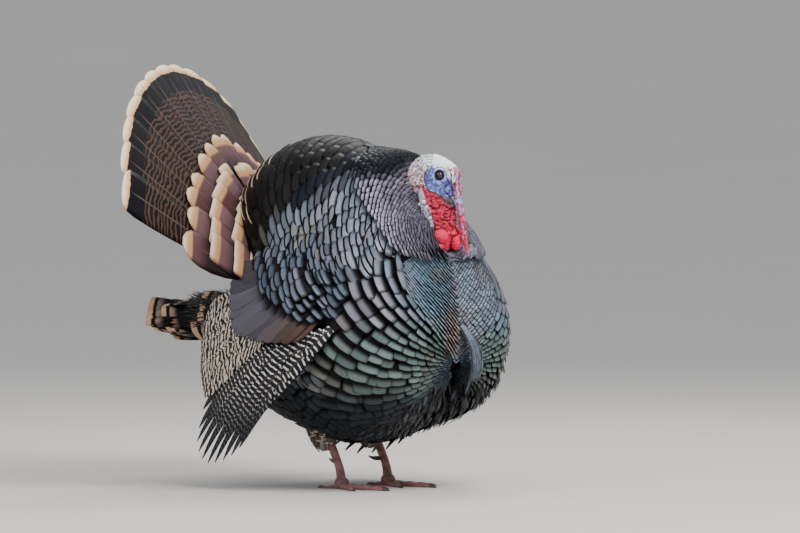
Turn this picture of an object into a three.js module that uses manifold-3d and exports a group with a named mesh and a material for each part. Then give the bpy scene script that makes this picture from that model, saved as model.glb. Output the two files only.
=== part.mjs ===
// A strutting wild turkey tom, standing still. Millimetres, +Z up.
// The bird looks along -Y and its left side is +X. The floor is Z = 0.
import * as THREE from "three";
import { mergeVertices } from "three/addons/utils/BufferGeometryUtils.js";
import Module from "manifold-3d";

const wasm = await Module();
wasm.setup();

// ---------------------------------------------------------------- sizes
const gap = 0.35; // clearance between two touching parts
const turn = Math.PI / 180;

// trunk: soft joined lumps, each {at: centre, half: half sizes}
const trunkCore = new THREE.Vector3(0, 0, 330);
const trunkBlend = 14;
const trunkRound = 32;
const trunkTall = 20;
const barrel = { at: [0, 17, 297], half: [213, 202, 215] };
const backHump = { at: [0, 88, 441], half: [170, 160, 160] };
const breastLobe = { at: [79, -90, 267], half: [117, 113, 141] };
const collarLobe = { at: [30, -50, 474], half: [66, 62, 90] };
const maneLobe = { at: [44, -100, 405], half: [62, 72, 66] };
const rumpLump = { at: [0, 139, 274], half: [158, 117, 150] };

// where the trunk is parted: a slanted plane for the mane, level and upright planes behind it
const maneCutPoint = [-20, 585];
const maneCutLean = 49.6;
const breastBackY = -20;
const backBottomZ = 430;
const bellyTopZ = 190;
const rumpFrontY = 150;

// head frame: centre, and how far the head is turned to the bird's left
const headAt = new THREE.Vector3(0, -144, 540);
const headTurn = 15;
const cranium = { at: [0, 8, 6], half: [20, 37, 31] };
const occiput = { at: [0, 28, -8], half: [19, 25, 26] };
const forehead = { at: [0, -21, -2], half: [15.5, 25, 23] };
const jowl = { at: [0, -7, -29], half: [14, 23, 22] };
const eyeAt = [14.6, -14.3, 1];
const eyeRadius = 6.3;

// neck, a bent tube with a radius at each point of its path
const neckPath = [
  [0, -110, 376],
  [0, -144, 404],
  [0, -163, 430],
  [0, -156, 462],
  [0, -144, 490],
  [0, -134, 520],
];
const neckRadii = [34, 31, 29, 29, 29, 25];
const wattleAt = [20, -179, 431];
const wattleHalf = [15, 16, 21];

// snood, hanging from the forehead in front of the bill (head frame)
const snoodPath = [
  [0, -36, 10],
  [0, -44, 2],
  [0, -48, -16],
  [0, -49, -36],
  [0, -51, -58],
  [0, -53, -90],
  [1, -57, -120],
  [1, -59, -132],
];
const snoodRadii = [7.6, 7.8, 7.2, 7, 6.6, 6, 5, 3];

// bill (head frame)
const upperBillPath = [[0, -22, -14], [0, -32, -24], [0, -37.5, -38], [0, -38.5, -48], [0, -35.5, -57]];
const upperBillHalf = [[8.5, 9], [8.5, 8.5], [6.8, 6.8], [4.2, 4.2], [1, 1]];
const lowerBillPath = [[0, -10, -27], [0, -20, -36], [0, -26, -46], [0, -30, -53.5]];
const lowerBillHalf = [[7.5, 4.6], [7, 4.6], [5, 3.6], [2, 1.4]];

// beard, a flat hank of bristle down the front of the breast
const beardPath = [
  [4, -182, 292],
  [10, -206, 272],
  [15, -219, 246],
  [18, -221, 218],
  [17, -213, 188],
];
const beardHalf = [[5, 5], [11, 6], [17, 7], [20, 7.5], [17, 5]];

// wing: a bowed sheet beside the trunk, its places given in side view as [back, up]
const wing = {
  bulge: 239, // how far the sheet stands out at its widest
  middle: 10,
  bowFront: 25,
  bowBack: 30,
  shoulder: 300,
  shoulderBow: 19,
  splay: 0.05,
};
const primaryRow = {
  roots: [[-97, 286], [44, 252]],
  tips: [[91, 79], [150, 56], [212, 52], [243, 82], [216, 150]],
  count: 10,
  finger: 0.2, // share of a feather that stands free at its tip
  depths: [11.2, 13.8],
};
const secondaryRow = {
  roots: [[92, 352], [34, 262]],
  tips: [[200, 312], [226, 270], [232, 205], [214, 156]],
  count: 9,
  finger: 0.06,
  depths: [6.4, 9],
};
const covertCushion = { centre: [15, 335], half: [120, 104], skew: 0.12, crown: 3, edge: 2, inner: 4 };

// tail fan: eighteen feathers on a wide cone
const fanApex = new THREE.Vector3(0, 92, 272);
const fanYaw = 21.9;
const fanPitch = 13.4;
const fanRoll = -15.4;
const fanOpen = 70; // angle between a feather and the axis of the cone
const fanSpread = 71.3; // angle of the fan's edge from its middle
const fanRadius = 545;
const fanRounding = 0.05; // how much shorter the outermost feathers stand
const fanRoot = 150;
const fanCount = 18;
const fanStep = 1.2; // how much each feather lies over its neighbour
const fanThick = 2.4;
const tiers = {
  count: 14,
  spread: 74,
  long: 0.66,
  short: 0.55,
  rise: 0.06,
  notch: 0.94,
  heights: [4.2, 7.4, 12],
};
const undertailStart = new THREE.Vector3(0, 205, 278);
const undertailEnd = { back: 327, up: 96 };
const undertailHalf = [[62, 44], [66, 42], [62, 40], [50, 34], [30, 24], [9, 8]];

// legs
const legX = 62;
const legY = 14;
const ankleZ = 20;
const hockAt = [62, 62, 118];
const shankPath = [[legX, legY, ankleZ], [legX, legY + 6, 40], [legX, legY + 26, 80], hockAt];
const shankRadii = [9.5, 7.5, 8, 9];
const spurPath = [[legX - 3, legY + 8, 48], [legX - 7, legY + 26, 47], [legX - 10, legY + 37, 51]];
const spurRadii = [5, 3.4, 0.8];
const thighPath = [[62, 46, 66], [62, 54, 92], [64, 48, 126], [66, 30, 170]];
const thighRadii = [12, 25, 38, 44];
const toes = {
  middle: { long: 92, heading: 0, thick: 7, claw: 17 },
  inner: { long: 68, heading: -32, thick: 7, claw: 14 },
  outer: { long: 70, heading: 34, thick: 7, claw: 14 },
  hind: { long: 40, heading: 176, thick: 5.2, claw: 12 },
};

// ---------------------------------------------------------------- tools
function closed(geometry) {
  const bare = geometry.clone();
  bare.deleteAttribute("normal");
  bare.deleteAttribute("uv");
  const merged = mergeVertices(bare, 1e-4);
  const vertProperties = new Float32Array(merged.attributes.position.array);
  const triVerts = new Uint32Array(merged.index.array);
  return new wasm.Manifold(new wasm.Mesh({ numProp: 3, vertProperties, triVerts }));
}

function signedVolume(geometry) {
  const spots = geometry.attributes.position;
  const index = geometry.index.array;
  const [a, b, c] = [new THREE.Vector3(), new THREE.Vector3(), new THREE.Vector3()];
  let sum = 0;
  for (let i = 0; i < index.length; i += 3) {
    a.fromBufferAttribute(spots, index[i]);
    b.fromBufferAttribute(spots, index[i + 1]);
    c.fromBufferAttribute(spots, index[i + 2]);
    sum += a.dot(b.cross(c)) / 6;
  }
  return sum;
}

// the same faces looking the other way
function flipped(geometry) {
  const index = geometry.index.array;
  for (let i = 0; i < index.length; i += 3) {
    const keep = index[i];
    index[i] = index[i + 1];
    index[i + 1] = keep;
  }
  return geometry;
}

// a closed skin over rings of equal count, ends closed by fans
function loft(rings) {
  const positions = [];
  const index = [];
  const around = rings[0].length;
  for (const ring of rings) {
    for (const p of ring) positions.push(p.x, p.y, p.z);
  }
  const middle = (ring) => ring.reduce((sum, p) => sum.add(p), new THREE.Vector3()).divideScalar(around);
  const last = rings.length - 1;
  const first = middle(rings[0]);
  const end = middle(rings[last]);
  positions.push(first.x, first.y, first.z, end.x, end.y, end.z);
  const firstIndex = rings.length * around;
  for (let i = 0; i < last; i += 1) {
    for (let j = 0; j < around; j += 1) {
      const a = i * around + j;
      const b = i * around + ((j + 1) % around);
      index.push(a, b, b + around, a, b + around, a + around);
    }
  }
  for (let j = 0; j < around; j += 1) {
    const next = (j + 1) % around;
    index.push(firstIndex, next, j);
    index.push(firstIndex + 1, last * around + j, last * around + next);
  }
  const geometry = new THREE.BufferGeometry();
  geometry.setAttribute("position", new THREE.Float32BufferAttribute(positions, 3));
  geometry.setIndex(index);
  return signedVolume(geometry) < 0 ? flipped(geometry) : geometry;
}

// points of an oval around a centre
function ovalRing(centre, side, wide, across, deep, around) {
  const ring = [];
  for (let j = 0; j < around; j += 1) {
    const angle = (j / around) * 2 * Math.PI;
    const spot = centre.clone().addScaledVector(side, Math.cos(angle) * wide);
    ring.push(spot.addScaledVector(across, Math.sin(angle) * deep));
  }
  return ring;
}

// a tube with an oval section along a smooth path; halves are [sideways, across]
function oval(path, halves, around, steps, grow = 0) {
  const curve = new THREE.CatmullRomCurve3(path.map((p) => new THREE.Vector3(...p)));
  const rings = [];
  for (let i = 0; i <= steps; i += 1) {
    const t = i / steps;
    const place = t * (halves.length - 1);
    const low = Math.min(Math.floor(place), halves.length - 2);
    const mix = place - low;
    const pair = (h) => (Array.isArray(h) ? h : [h, h]);
    const a = pair(halves[low]);
    const b = pair(halves[low + 1]);
    const wide = a[0] + (b[0] - a[0]) * mix + grow;
    const deep = a[1] + (b[1] - a[1]) * mix + grow;
    const centre = curve.getPoint(t);
    const along = curve.getTangent(t);
    const side = new THREE.Vector3(1, 0, 0).addScaledVector(along, -along.x).normalize();
    const across = new THREE.Vector3().crossVectors(along, side);
    rings.push(ovalRing(centre, side, wide, across, deep, around));
  }
  return loft(rings);
}

// signed value of soft joined lumps, below nought inside
function lumpValue(p, lumps, blend) {
  let sum = 0;
  for (const { at, half } of lumps) {
    const qx = (p.x - at[0]) / half[0];
    const qy = (p.y - at[1]) / half[1];
    const qz = (p.z - at[2]) / half[2];
    const value = (Math.hypot(qx, qy, qz) - 1) * Math.min(...half);
    sum += Math.exp(-Math.min(Math.max(value / blend, -40), 40));
  }
  return -blend * Math.log(sum);
}

// a ball whose every point is moved out or in to the surface of the lumps
function lumpBall(core, lumps, blend, reach, around, tall, grow = 0) {
  const ball = new THREE.SphereGeometry(1, around, tall);
  ball.rotateX(Math.PI / 2);
  const spots = ball.attributes.position;
  const ray = new THREE.Vector3();
  const p = new THREE.Vector3();
  const steps = 48;
  for (let i = 0; i < spots.count; i += 1) {
    ray.fromBufferAttribute(spots, i).normalize();
    let outer = reach;
    const valueAt = (distance) => lumpValue(p.copy(core).addScaledVector(ray, distance), lumps, blend);
    while (outer > 0 && valueAt(outer) > 0) outer -= reach / steps;
    let low = outer;
    let high = outer + reach / steps;
    for (let k = 0; k < 16; k += 1) {
      const mid = (low + high) / 2;
      if (valueAt(mid) > 0) high = mid;
      else low = mid;
    }
    p.copy(core).addScaledVector(ray, low + grow);
    spots.setXYZ(i, p.x, p.y, p.z);
  }
  return ball;
}

function both(lump) {
  const [x, y, z] = lump.at;
  return [lump, { at: [-x, y, z], half: lump.half }];
}

function block(lowX, highX, lowY, highY, lowZ, highZ) {
  const box = new THREE.BoxGeometry(highX - lowX, highY - lowY, highZ - lowZ);
  box.translate((lowX + highX) / 2, (lowY + highY) / 2, (lowZ + highZ) / 2);
  return box;
}

// the other side's copy of a solid
function mirrored(geometry) {
  return flipped(geometry.clone().scale(-1, 1, 1));
}

function toGeometry(shape) {
  const mesh = shape.getMesh();
  const geometry = new THREE.BufferGeometry();
  const positions = [];
  for (let i = 0; i < mesh.numVert; i += 1) {
    const at = i * mesh.numProp;
    positions.push(mesh.vertProperties[at], mesh.vertProperties[at + 1], mesh.vertProperties[at + 2]);
  }
  geometry.setAttribute("position", new THREE.Float32BufferAttribute(positions, 3));
  geometry.setIndex(Array.from(mesh.triVerts));
  return geometry;
}

// the largest separate body of a cut solid
function biggest(shape) {
  return shape.decompose().sort((a, b) => b.volume() - a.volume())[0];
}

const turkey = new THREE.Group();
turkey.name = "turkey";

function add(name, geometry, colour) {
  const material = new THREE.MeshStandardMaterial({ color: colour, roughness: 0.7, metalness: 0 });
  const mesh = new THREE.Mesh(geometry, material);
  mesh.name = name;
  turkey.add(mesh);
}

// ---------------------------------------------------------------- trunk
const sideLumps = [breastLobe, collarLobe, maneLobe].flatMap(both);
const trunkLumps = [barrel, backHump, rumpLump, ...sideLumps];
const wholeTrunk = closed(lumpBall(trunkCore, trunkLumps, trunkBlend, 420, trunkRound, trunkTall));
const trunkTool = closed(lumpBall(trunkCore, trunkLumps, trunkBlend, 420, trunkRound, trunkTall, gap));

function inHead(geometry) {
  return geometry.rotateZ(headTurn * turn).translate(headAt.x, headAt.y, headAt.z);
}

const headLumps = [cranium, occiput, forehead, jowl];
const origin = new THREE.Vector3();
function headBall(grow) {
  return closed(inHead(lumpBall(origin, headLumps, 4, 80, 18, 13, grow)));
}

// half space above and in front of the slanted plane, moved by "shift" along its normal
function maneSide(shift) {
  const slab = block(-400, 400, -600, 600, 0, 600);
  slab.translate(0, 0, shift);
  slab.rotateX(maneCutLean * turn);
  slab.translate(0, maneCutPoint[0], maneCutPoint[1]);
  return closed(slab);
}

const trunk = wholeTrunk.subtract(headBall(gap));
const behindMane = trunk.subtract(maneSide(-gap / 2));
const g = gap / 2;
function trunkPiece(lowY, highY, lowZ, highZ) {
  return toGeometry(biggest(behindMane.intersect(closed(block(-400, 400, lowY, highY, lowZ, highZ)))));
}

add("mane", toGeometry(biggest(trunk.intersect(maneSide(gap / 2)))), 0x4d4550);
add("breast", trunkPiece(-500, breastBackY - g, 0, 700), 0x35504a);
add("back", trunkPiece(breastBackY + g, 500, backBottomZ + g, 700), 0x26303a);
add("belly", trunkPiece(breastBackY + g, 500, 0, bellyTopZ - g), 0x1d1a1a);
add("flanks", trunkPiece(breastBackY + g, rumpFrontY - g, bellyTopZ + g, backBottomZ - g), 0x2a3136);
add("rump", trunkPiece(rumpFrontY + g, 500, bellyTopZ + g, backBottomZ - g), 0x2b2a2c);

// ---------------------------------------------------------------- head
function eyeBall(side, grow) {
  const ball = new THREE.SphereGeometry(eyeRadius + grow, 10, 8).rotateX(Math.PI / 2);
  return closed(inHead(ball.translate(eyeAt[0] * side, eyeAt[1], eyeAt[2])));
}

const neckRings = [12, 6];
const neck = closed(oval(neckPath, neckRadii, ...neckRings)).subtract(trunkTool);
const neckTool = closed(oval(neckPath, neckRadii, ...neckRings, gap));
const snoodSolid = closed(inHead(oval(snoodPath, snoodRadii, 8, 11)));
const snoodTool = closed(inHead(oval(snoodPath, snoodRadii, 8, 11, gap)));
const upperBill = closed(inHead(oval(upperBillPath, upperBillHalf, 8, 7)));
const upperBillTool = closed(inHead(oval(upperBillPath, upperBillHalf, 8, 7, gap)));
const lowerBill = closed(inHead(oval(lowerBillPath, lowerBillHalf, 8, 5)));
const lowerBillTool = closed(inHead(oval(lowerBillPath, lowerBillHalf, 8, 5, gap)));

let head = headBall(0);
const headTools = [eyeBall(1, gap), eyeBall(-1, gap), upperBillTool, lowerBillTool, snoodTool, neckTool];
for (const tool of headTools) {
  head = head.subtract(tool);
}
add("head", toGeometry(biggest(head)), 0x9db4cf);
add("eye_left", toGeometry(eyeBall(1, 0)), 0x1a1310);
add("eye_right", toGeometry(eyeBall(-1, 0)), 0x1a1310);
add("bill_upper", toGeometry(biggest(upperBill.subtract(snoodTool))), 0x8b8070);
add("bill_lower", toGeometry(biggest(lowerBill.subtract(upperBillTool))), 0x93887a);
add("snood", toGeometry(snoodSolid), 0xb8434f);

function wattle(side, grow) {
  const ball = new THREE.SphereGeometry(1, 12, 8).rotateX(Math.PI / 2);
  ball.scale(wattleHalf[0] + grow, wattleHalf[1] + grow, wattleHalf[2] + grow);
  return closed(ball.translate(wattleAt[0] * side, wattleAt[1], wattleAt[2]));
}
let neckCut = neck;
for (const tool of [wattle(1, gap), wattle(-1, gap), snoodTool, upperBillTool, lowerBillTool]) {
  neckCut = neckCut.subtract(tool);
}
add("neck", toGeometry(biggest(neckCut)), 0xc2334a);
for (const [name, side] of [["left", 1], ["right", -1]]) {
  const sideBlock = block(gap / 2, 300, -400, 0, 300, 600);
  const ownSide = closed(side > 0 ? sideBlock : mirrored(sideBlock));
  const lobe = wattle(side, 0).intersect(ownSide).subtract(trunkTool).subtract(snoodTool);
  add(`wattle_${name}`, toGeometry(biggest(lobe.subtract(lowerBillTool))), 0xd0405a);
}

const beard = closed(oval(beardPath, beardHalf, 8, 8)).subtract(trunkTool);
add("beard", toGeometry(biggest(beard)), 0x1c1a1b);

// ---------------------------------------------------------------- wings
function wingPoint(y, z, depth) {
  const off = y - wing.middle;
  const bow = (off / (off > 0 ? wing.bowBack : wing.bowFront)) ** 2;
  const rise = Math.max(z - wing.shoulder, 0);
  const fall = Math.max(wing.shoulder - z, 0);
  const x = wing.bulge - bow - (rise / wing.shoulderBow) ** 2 + fall * wing.splay - depth;
  return new THREE.Vector3(x, y, z);
}

const lerp = (a, b, t) => a + (b - a) * t;

// a row of flight feathers as one stepped sheet whose free edge is cut into rounded tips
function featherRow({ roots, tips, count, finger, depths }, grow) {
  const tipLine = new THREE.CatmullRomCurve3(tips.map(([y, z]) => new THREE.Vector3(0, y, z)));
  const shares = [0, 0.35, 0.7, 1]; // stations from root to tip
  const rings = [];
  const addRing = (t, reach, drop) => {
    const tip = tipLine.getPoint(t);
    const outer = [];
    const inner = [];
    for (const share of shares) {
      const y = lerp(lerp(roots[0][0], roots[1][0], t), tip.y, share * reach);
      const z = lerp(lerp(roots[0][1], roots[1][1], t), tip.z, share * reach);
      outer.push(wingPoint(y, z, depths[0] + drop - grow));
      inner.push(wingPoint(y, z, depths[1] + drop + grow));
    }
    rings.push([...outer, ...inner.reverse()]);
  };
  for (let i = 0; i < count; i += 1) {
    addRing((i + 0.06) / count, 1 - finger, 0.4);
    addRing((i + 0.38) / count, 1, 0.1);
    addRing((i + 0.8) / count, 0.985, -0.3);
  }
  addRing(1, 1 - finger, -0.3);
  return closed(loft(rings));
}

// shoulder and coverts: a cushion on the sheet, thinning to its edge
function cushion({ centre, half, skew, crown, edge, inner }, grow) {
  const around = 24;
  const ringAt = (level, depth) => {
    const ring = [];
    for (let j = 0; j < around; j += 1) {
      const angle = (j / around) * 2 * Math.PI;
      const long = (half[0] + grow) * level * (1 + 0.05 * Math.cos(3 * angle));
      const tall = (half[1] + grow) * level;
      const y = centre[0] + Math.cos(angle) * long - Math.sin(angle) * tall * skew;
      ring.push(wingPoint(y, centre[1] + Math.sin(angle) * tall, depth));
    }
    return ring;
  };
  const outerDepth = (level) => (crown + edge) * level ** 4 - crown - grow;
  const outer = [0.3, 0.7, 0.92, 1].map((level) => ringAt(level, outerDepth(level)));
  const under = [1, 0.7, 0.35].map((level) => ringAt(level, inner + grow));
  return closed(loft([...outer, ...under]));
}

const wingParts = [
  ["coverts", cushion(covertCushion, 0), 0x5b6878],
  ["secondaries", featherRow(secondaryRow, 0), 0xb9b2a6],
  ["primaries", featherRow(primaryRow, 0), 0x39332f],
];
for (const [name, shape, colour] of wingParts) {
  const geometry = toGeometry(shape);
  add(`wing_${name}_left`, geometry, colour);
  add(`wing_${name}_right`, mirrored(geometry), colour);
}

// what the tail is cut clear of: the trunk and both folded wings
const wingTool = cushion(covertCushion, gap).add(featherRow(secondaryRow, gap));
const otherWingTool = closed(mirrored(toGeometry(wingTool)));
const bodyTool = trunkTool.add(wingTool).add(otherWingTool);
const clearOfBody = (shape) => biggest(shape.subtract(bodyTool));

// ---------------------------------------------------------------- tail
function fanFrame() {
  const tilt = new THREE.Euler(-fanPitch * turn, 0, fanYaw * turn, "ZYX");
  const facing = new THREE.Vector3(0, -1, 0).applyEuler(tilt);
  const up = new THREE.Vector3(0, 0, 1).applyEuler(tilt).applyAxisAngle(facing, fanRoll * turn);
  const out = new THREE.Vector3(1, 0, 0).applyEuler(tilt).applyAxisAngle(facing, fanRoll * turn);
  return { back: facing.negate(), up, out };
}
const fan = fanFrame();

// a point of the fan's cone: angle from the middle, distance from the apex, lift towards the head
function fanPoint(angle, radius, lift) {
  const spoke = fan.up.clone().multiplyScalar(Math.cos(angle)).addScaledVector(fan.out, Math.sin(angle));
  const [s, c] = [Math.sin(fanOpen * turn), Math.cos(fanOpen * turn)];
  const along = spoke.clone().multiplyScalar(s).addScaledVector(fan.back, c);
  const normal = spoke.clone().multiplyScalar(c).addScaledVector(fan.back, -s);
  return fanApex.clone().addScaledVector(along, radius).addScaledVector(normal, lift);
}

// a fan of feathers as one stepped sheet: each cell rises a little and ends in a rounded tip
function fanSheet({ count, spread, low, high, step, tipAt, notch, root }) {
  const rings = [];
  const cell = (2 * spread) / count;
  for (let i = 0; i < count; i += 1) {
    for (const [u, share, up] of [[0.02, notch, -step], [0.5, 1, 0], [0.98, notch, step]]) {
      const angle = (-spread + cell * (i + u)) * turn;
      const tip = tipAt(angle) * share;
      rings.push([
        fanPoint(angle, root, low + up),
        fanPoint(angle, tip, low + up),
        fanPoint(angle, tip, high + up),
        fanPoint(angle, root, high + up),
      ]);
    }
  }
  return closed(loft(rings));
}

const fanSolid = fanSheet({
  count: fanCount,
  spread: fanSpread,
  low: 0,
  high: fanThick,
  step: fanStep,
  tipAt: (angle) => fanRadius * (1 - fanRounding * (angle / (fanSpread * turn)) ** 4),
  notch: 0.97,
  root: fanRoot,
});
add("tail_fan", toGeometry(clearOfBody(fanSolid)), 0x7c4a2c);

// two tiers of coverts over the roots of the fan, as one stepped sheet
function covertTiers({ count, spread, long, short, rise, notch, heights }) {
  const rings = [];
  const root = fanRoot - 10;
  for (let i = 0; i < count; i += 1) {
    for (const [u, first, second] of [[0.02, notch, 1], [0.35, 0.99, 0.98], [0.65, 0.99, 0.98]]) {
      const angle = -spread * turn + ((2 * spread * turn) / count) * (i + u);
      const reach = fanRadius * (long + rise * Math.cos(angle)) * first;
      const shorter = fanRadius * (short + rise * Math.cos(angle)) * second;
      const stations = [[root, 0], [reach, 0], [reach, 1], [shorter, 1], [shorter - 3, 2], [root, 2]];
      rings.push(stations.map(([radius, level]) => fanPoint(angle, radius, heights[level])));
    }
  }
  return closed(loft(rings));
}
add("tail_coverts", toGeometry(clearOfBody(covertTiers(tiers))), 0x6b3f2c);

// the bunch of long feathers under the fan
function undertail() {
  const end = fanApex.clone().addScaledVector(fan.back, undertailEnd.back);
  end.addScaledVector(fan.up, undertailEnd.up);
  const rings = undertailHalf.map(([wide, deep], i) => {
    const centre = undertailStart.clone().lerp(end, i / (undertailHalf.length - 1));
    return ovalRing(centre, fan.out, wide, fan.up, deep, 12);
  });
  return closed(loft(rings));
}
add("undertail_coverts", toGeometry(clearOfBody(undertail())), 0x6d5140);

// ---------------------------------------------------------------- legs
function toeFrame(heading) {
  const along = new THREE.Vector3(Math.sin(heading * turn), -Math.cos(heading * turn), 0);
  return { along, side: new THREE.Vector3(along.y, -along.x, 0) };
}

// closed skin over sections of a toe or claw; each section is its reach and a [sideways, up] outline
function toeLoft(heading, sections) {
  const { along, side } = toeFrame(heading);
  const place = (reach, [a, b]) => {
    const spot = new THREE.Vector3(legX, legY, b);
    return spot.addScaledVector(along, reach).addScaledVector(side, a);
  };
  return closed(loft(sections.map(([reach, outline]) => outline.map((spot) => place(reach, spot)))));
}

function toeSolid({ long, heading, thick }) {
  const outline = [[-0.7, 0], [0.7, 0], [1, 0.6], [0.5, 1.6], [-0.5, 1.6], [-1, 0.6]];
  const stations = [[-4, 1], [long * 0.6, 0.82], [long, 0.5]];
  const scaled = (size) => outline.map(([a, b]) => [a * size, b * size]);
  return toeLoft(heading, stations.map(([reach, share]) => [reach, scaled(thick * share)]));
}

function clawSolid({ long, heading, claw }) {
  const stations = [[0, 3, 5.2], [0.45, 2.4, 4.6], [0.8, 1.5, 3], [1, 0.6, 1.2]];
  const sole = 0.3;
  const outline = (half, top) => [
    [-0.8 * half, sole],
    [0.8 * half, sole],
    [half, top / 2],
    [0, top],
    [-half, top / 2],
  ];
  return toeLoft(heading, stations.map(([t, half, top]) => [long + gap + claw * t, outline(half, top)]));
}

const footBall = new THREE.SphereGeometry(1, 10, 6).rotateX(Math.PI / 2).scale(12, 14, 12);
const soleUp = closed(block(0, 200, -300, 300, 0, ankleZ - gap));
let foot = closed(footBall.translate(legX, legY, 11)).intersect(soleUp);
for (const toe of Object.values(toes)) {
  foot = foot.add(toeSolid(toe));
}

const legSkin = 0xb0787a;
const horn = 0x3a3230;
const shankSolid = (grow) => closed(oval(shankPath, shankRadii, 10, 7, grow));
const thighSolid = (grow) => closed(oval(thighPath, thighRadii, 12, 7, grow));
const aboveFoot = closed(block(0, 200, -300, 300, ankleZ, 400));
const legParts = [
  ["foot", foot, legSkin],
  ["thigh", thighSolid(0).subtract(trunkTool), 0x2c2624],
  ["shank", shankSolid(0).intersect(aboveFoot).subtract(thighSolid(gap)).subtract(trunkTool), legSkin],
  ["spur", closed(oval(spurPath, spurRadii, 8, 4)).subtract(shankSolid(gap)), horn],
];
for (const [name, toe] of Object.entries(toes)) {
  legParts.push([`claw_${name}`, clawSolid(toe), horn]);
}
for (const [name, shape, colour] of legParts) {
  const geometry = toGeometry(biggest(shape));
  add(`${name}_left`, geometry, colour);
  add(`${name}_right`, mirrored(geometry), colour);
}

export default turkey;
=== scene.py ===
# A strutting wild turkey tom, life size: fine skin, vanes of feather over it, eyes, bill and claws.
# Metres, in the frame of the solids: the bird looks along -Y, its left is +X, the floor is Z = 0.
import math
from types import SimpleNamespace
import bpy
import numpy as np
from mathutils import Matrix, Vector


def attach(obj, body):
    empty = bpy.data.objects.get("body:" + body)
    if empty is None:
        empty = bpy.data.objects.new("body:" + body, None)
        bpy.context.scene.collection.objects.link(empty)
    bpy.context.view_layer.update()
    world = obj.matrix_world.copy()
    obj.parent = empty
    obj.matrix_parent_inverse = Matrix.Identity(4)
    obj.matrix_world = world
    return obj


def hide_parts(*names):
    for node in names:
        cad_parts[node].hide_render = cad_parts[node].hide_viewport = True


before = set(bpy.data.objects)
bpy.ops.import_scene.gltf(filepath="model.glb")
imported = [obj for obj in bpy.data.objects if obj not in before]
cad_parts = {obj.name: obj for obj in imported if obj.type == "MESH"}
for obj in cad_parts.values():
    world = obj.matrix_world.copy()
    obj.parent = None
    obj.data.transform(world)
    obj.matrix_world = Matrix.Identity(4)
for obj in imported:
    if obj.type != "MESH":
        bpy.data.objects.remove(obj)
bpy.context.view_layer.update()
mm = 0.001
turn = math.pi / 180
dice = np.random.default_rng(7)
sides = {"left": 1, "right": -1}


# Small sums on arrays.
def vec(*values):
    return np.array(values, float)


def unit(v):  # v divided by its length
    return v / np.maximum(np.linalg.norm(v, axis=-1, keepdims=True), 1e-12)


def ease(x, low, high):  # 0 below low, 1 above high, 3t^2 - 2t^3 between
    t = np.clip((x - low) / (high - low), 0, 1)
    return t * t * (3 - 2 * t)


def easeDown(x, low, high):  # 1 below low, 0 above high
    return 1 - ease(x, low, high)


def hill(x, middle, width):  # 1 at the middle and near 0 past two widths: exp(-((x - middle) / width)^2)
    return np.exp(-((x - middle) / width) ** 2)


def circle(count):  # evenly spaced angles round a whole turn
    return np.arange(count) / count * 2 * math.pi


def mixed(a, b, share):  # a where share is 0, b where it is 1
    share = np.asarray(share)[..., None]
    return a * (1 - share) + b * share


def spread(amount, count):  # 1 give or take amount
    return 1 + amount * dice.uniform(-1, 1, count)


# value noise: a random number at each lattice corner, blended over the cell with 3t^2 - 2t^3
def grain(points, scale, seed=0):
    p = np.asarray(points) * scale
    cell = np.floor(p).astype(np.int64)
    t = p - cell
    t = t * t * (3 - 2 * t)
    total = 0
    for i in (0, 1):
        for j in (0, 1):
            for k in (0, 1):
                h = (cell[..., 0] + i) * 73856093 ^ (cell[..., 1] + j) * 19349663
                h = (h ^ (cell[..., 2] + k) * 83492791 ^ seed * 2654435) & 0xFFFFFF
                h = (h * 1103515245 + 12345) & 0xFFFFFF
                weight = (t[..., 0] if i else 1 - t[..., 0]) * (t[..., 1] if j else 1 - t[..., 1])
                total = total + weight * (t[..., 2] if k else 1 - t[..., 2]) * (h / 0x800000 - 1)
    return total


# a smooth path through points (Catmull-Rom), read at shares 0..1; other columns ride along
def along(points, share):
    points = np.asarray(points, float)
    ends = np.vstack([2 * points[0] - points[1], points, 2 * points[-1] - points[-2]])
    place = np.clip(np.asarray(share, float), 0, 1) * (len(points) - 1)
    i = np.minimum(place.astype(int), len(points) - 2)
    t = (place - i)[..., None]
    a, b, c, d = (ends[i + k] for k in range(4))
    return 0.5 * (2 * b + (c - a) * t + (2 * a - 5 * b + 4 * c - d) * t**2 + (3 * b - a - 3 * c + d) * t**3)


def blendRow(values, share):  # straight lines between evenly spaced values
    values = np.asarray(values, float)
    return np.interp(share, np.linspace(0, 1, len(values)), values)


# Meshes from arrays. loft joins rings[i, j] into a closed skin that faces outwards, and each end is a fan to
# the middle of its ring.
def loft(rings):
    count, around = rings.shape[:2]
    points = np.vstack([rings.reshape(-1, 3), rings[0].mean(0), rings[-1].mean(0)])
    i, j = np.meshgrid(np.arange(count - 1), np.arange(around), indexing="ij")
    a = i * around + j
    b = i * around + (j + 1) % around
    quads = np.stack([a, b, b + around, a + around], -1).reshape(-1, 4)
    j = np.arange(around)
    after = (j + 1) % around
    last = (count - 1) * around
    first = count * around
    low = np.stack([np.full(around, first), after, j], -1)
    high = np.stack([np.full(around, first + 1), last + j, last + after], -1)
    faces = [quads, np.vstack([low, high])]
    a, b, c, d = (points[quads[:, k]] for k in range(4))
    volume = np.sum(a * np.cross(b, c)) + np.sum(a * np.cross(c, d))
    if volume < 0:
        faces = [f[:, ::-1] for f in faces]
    return points, faces


def gather(parts):  # several (points, faces) as one
    points, groups, shift = [], {}, 0
    for part, faces in parts:
        points.append(part)
        for f in faces:
            groups.setdefault(f.shape[1], []).append(f + shift)
        shift += len(part)
    return np.vstack(points), [np.vstack(f) for f in groups.values()]


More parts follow.
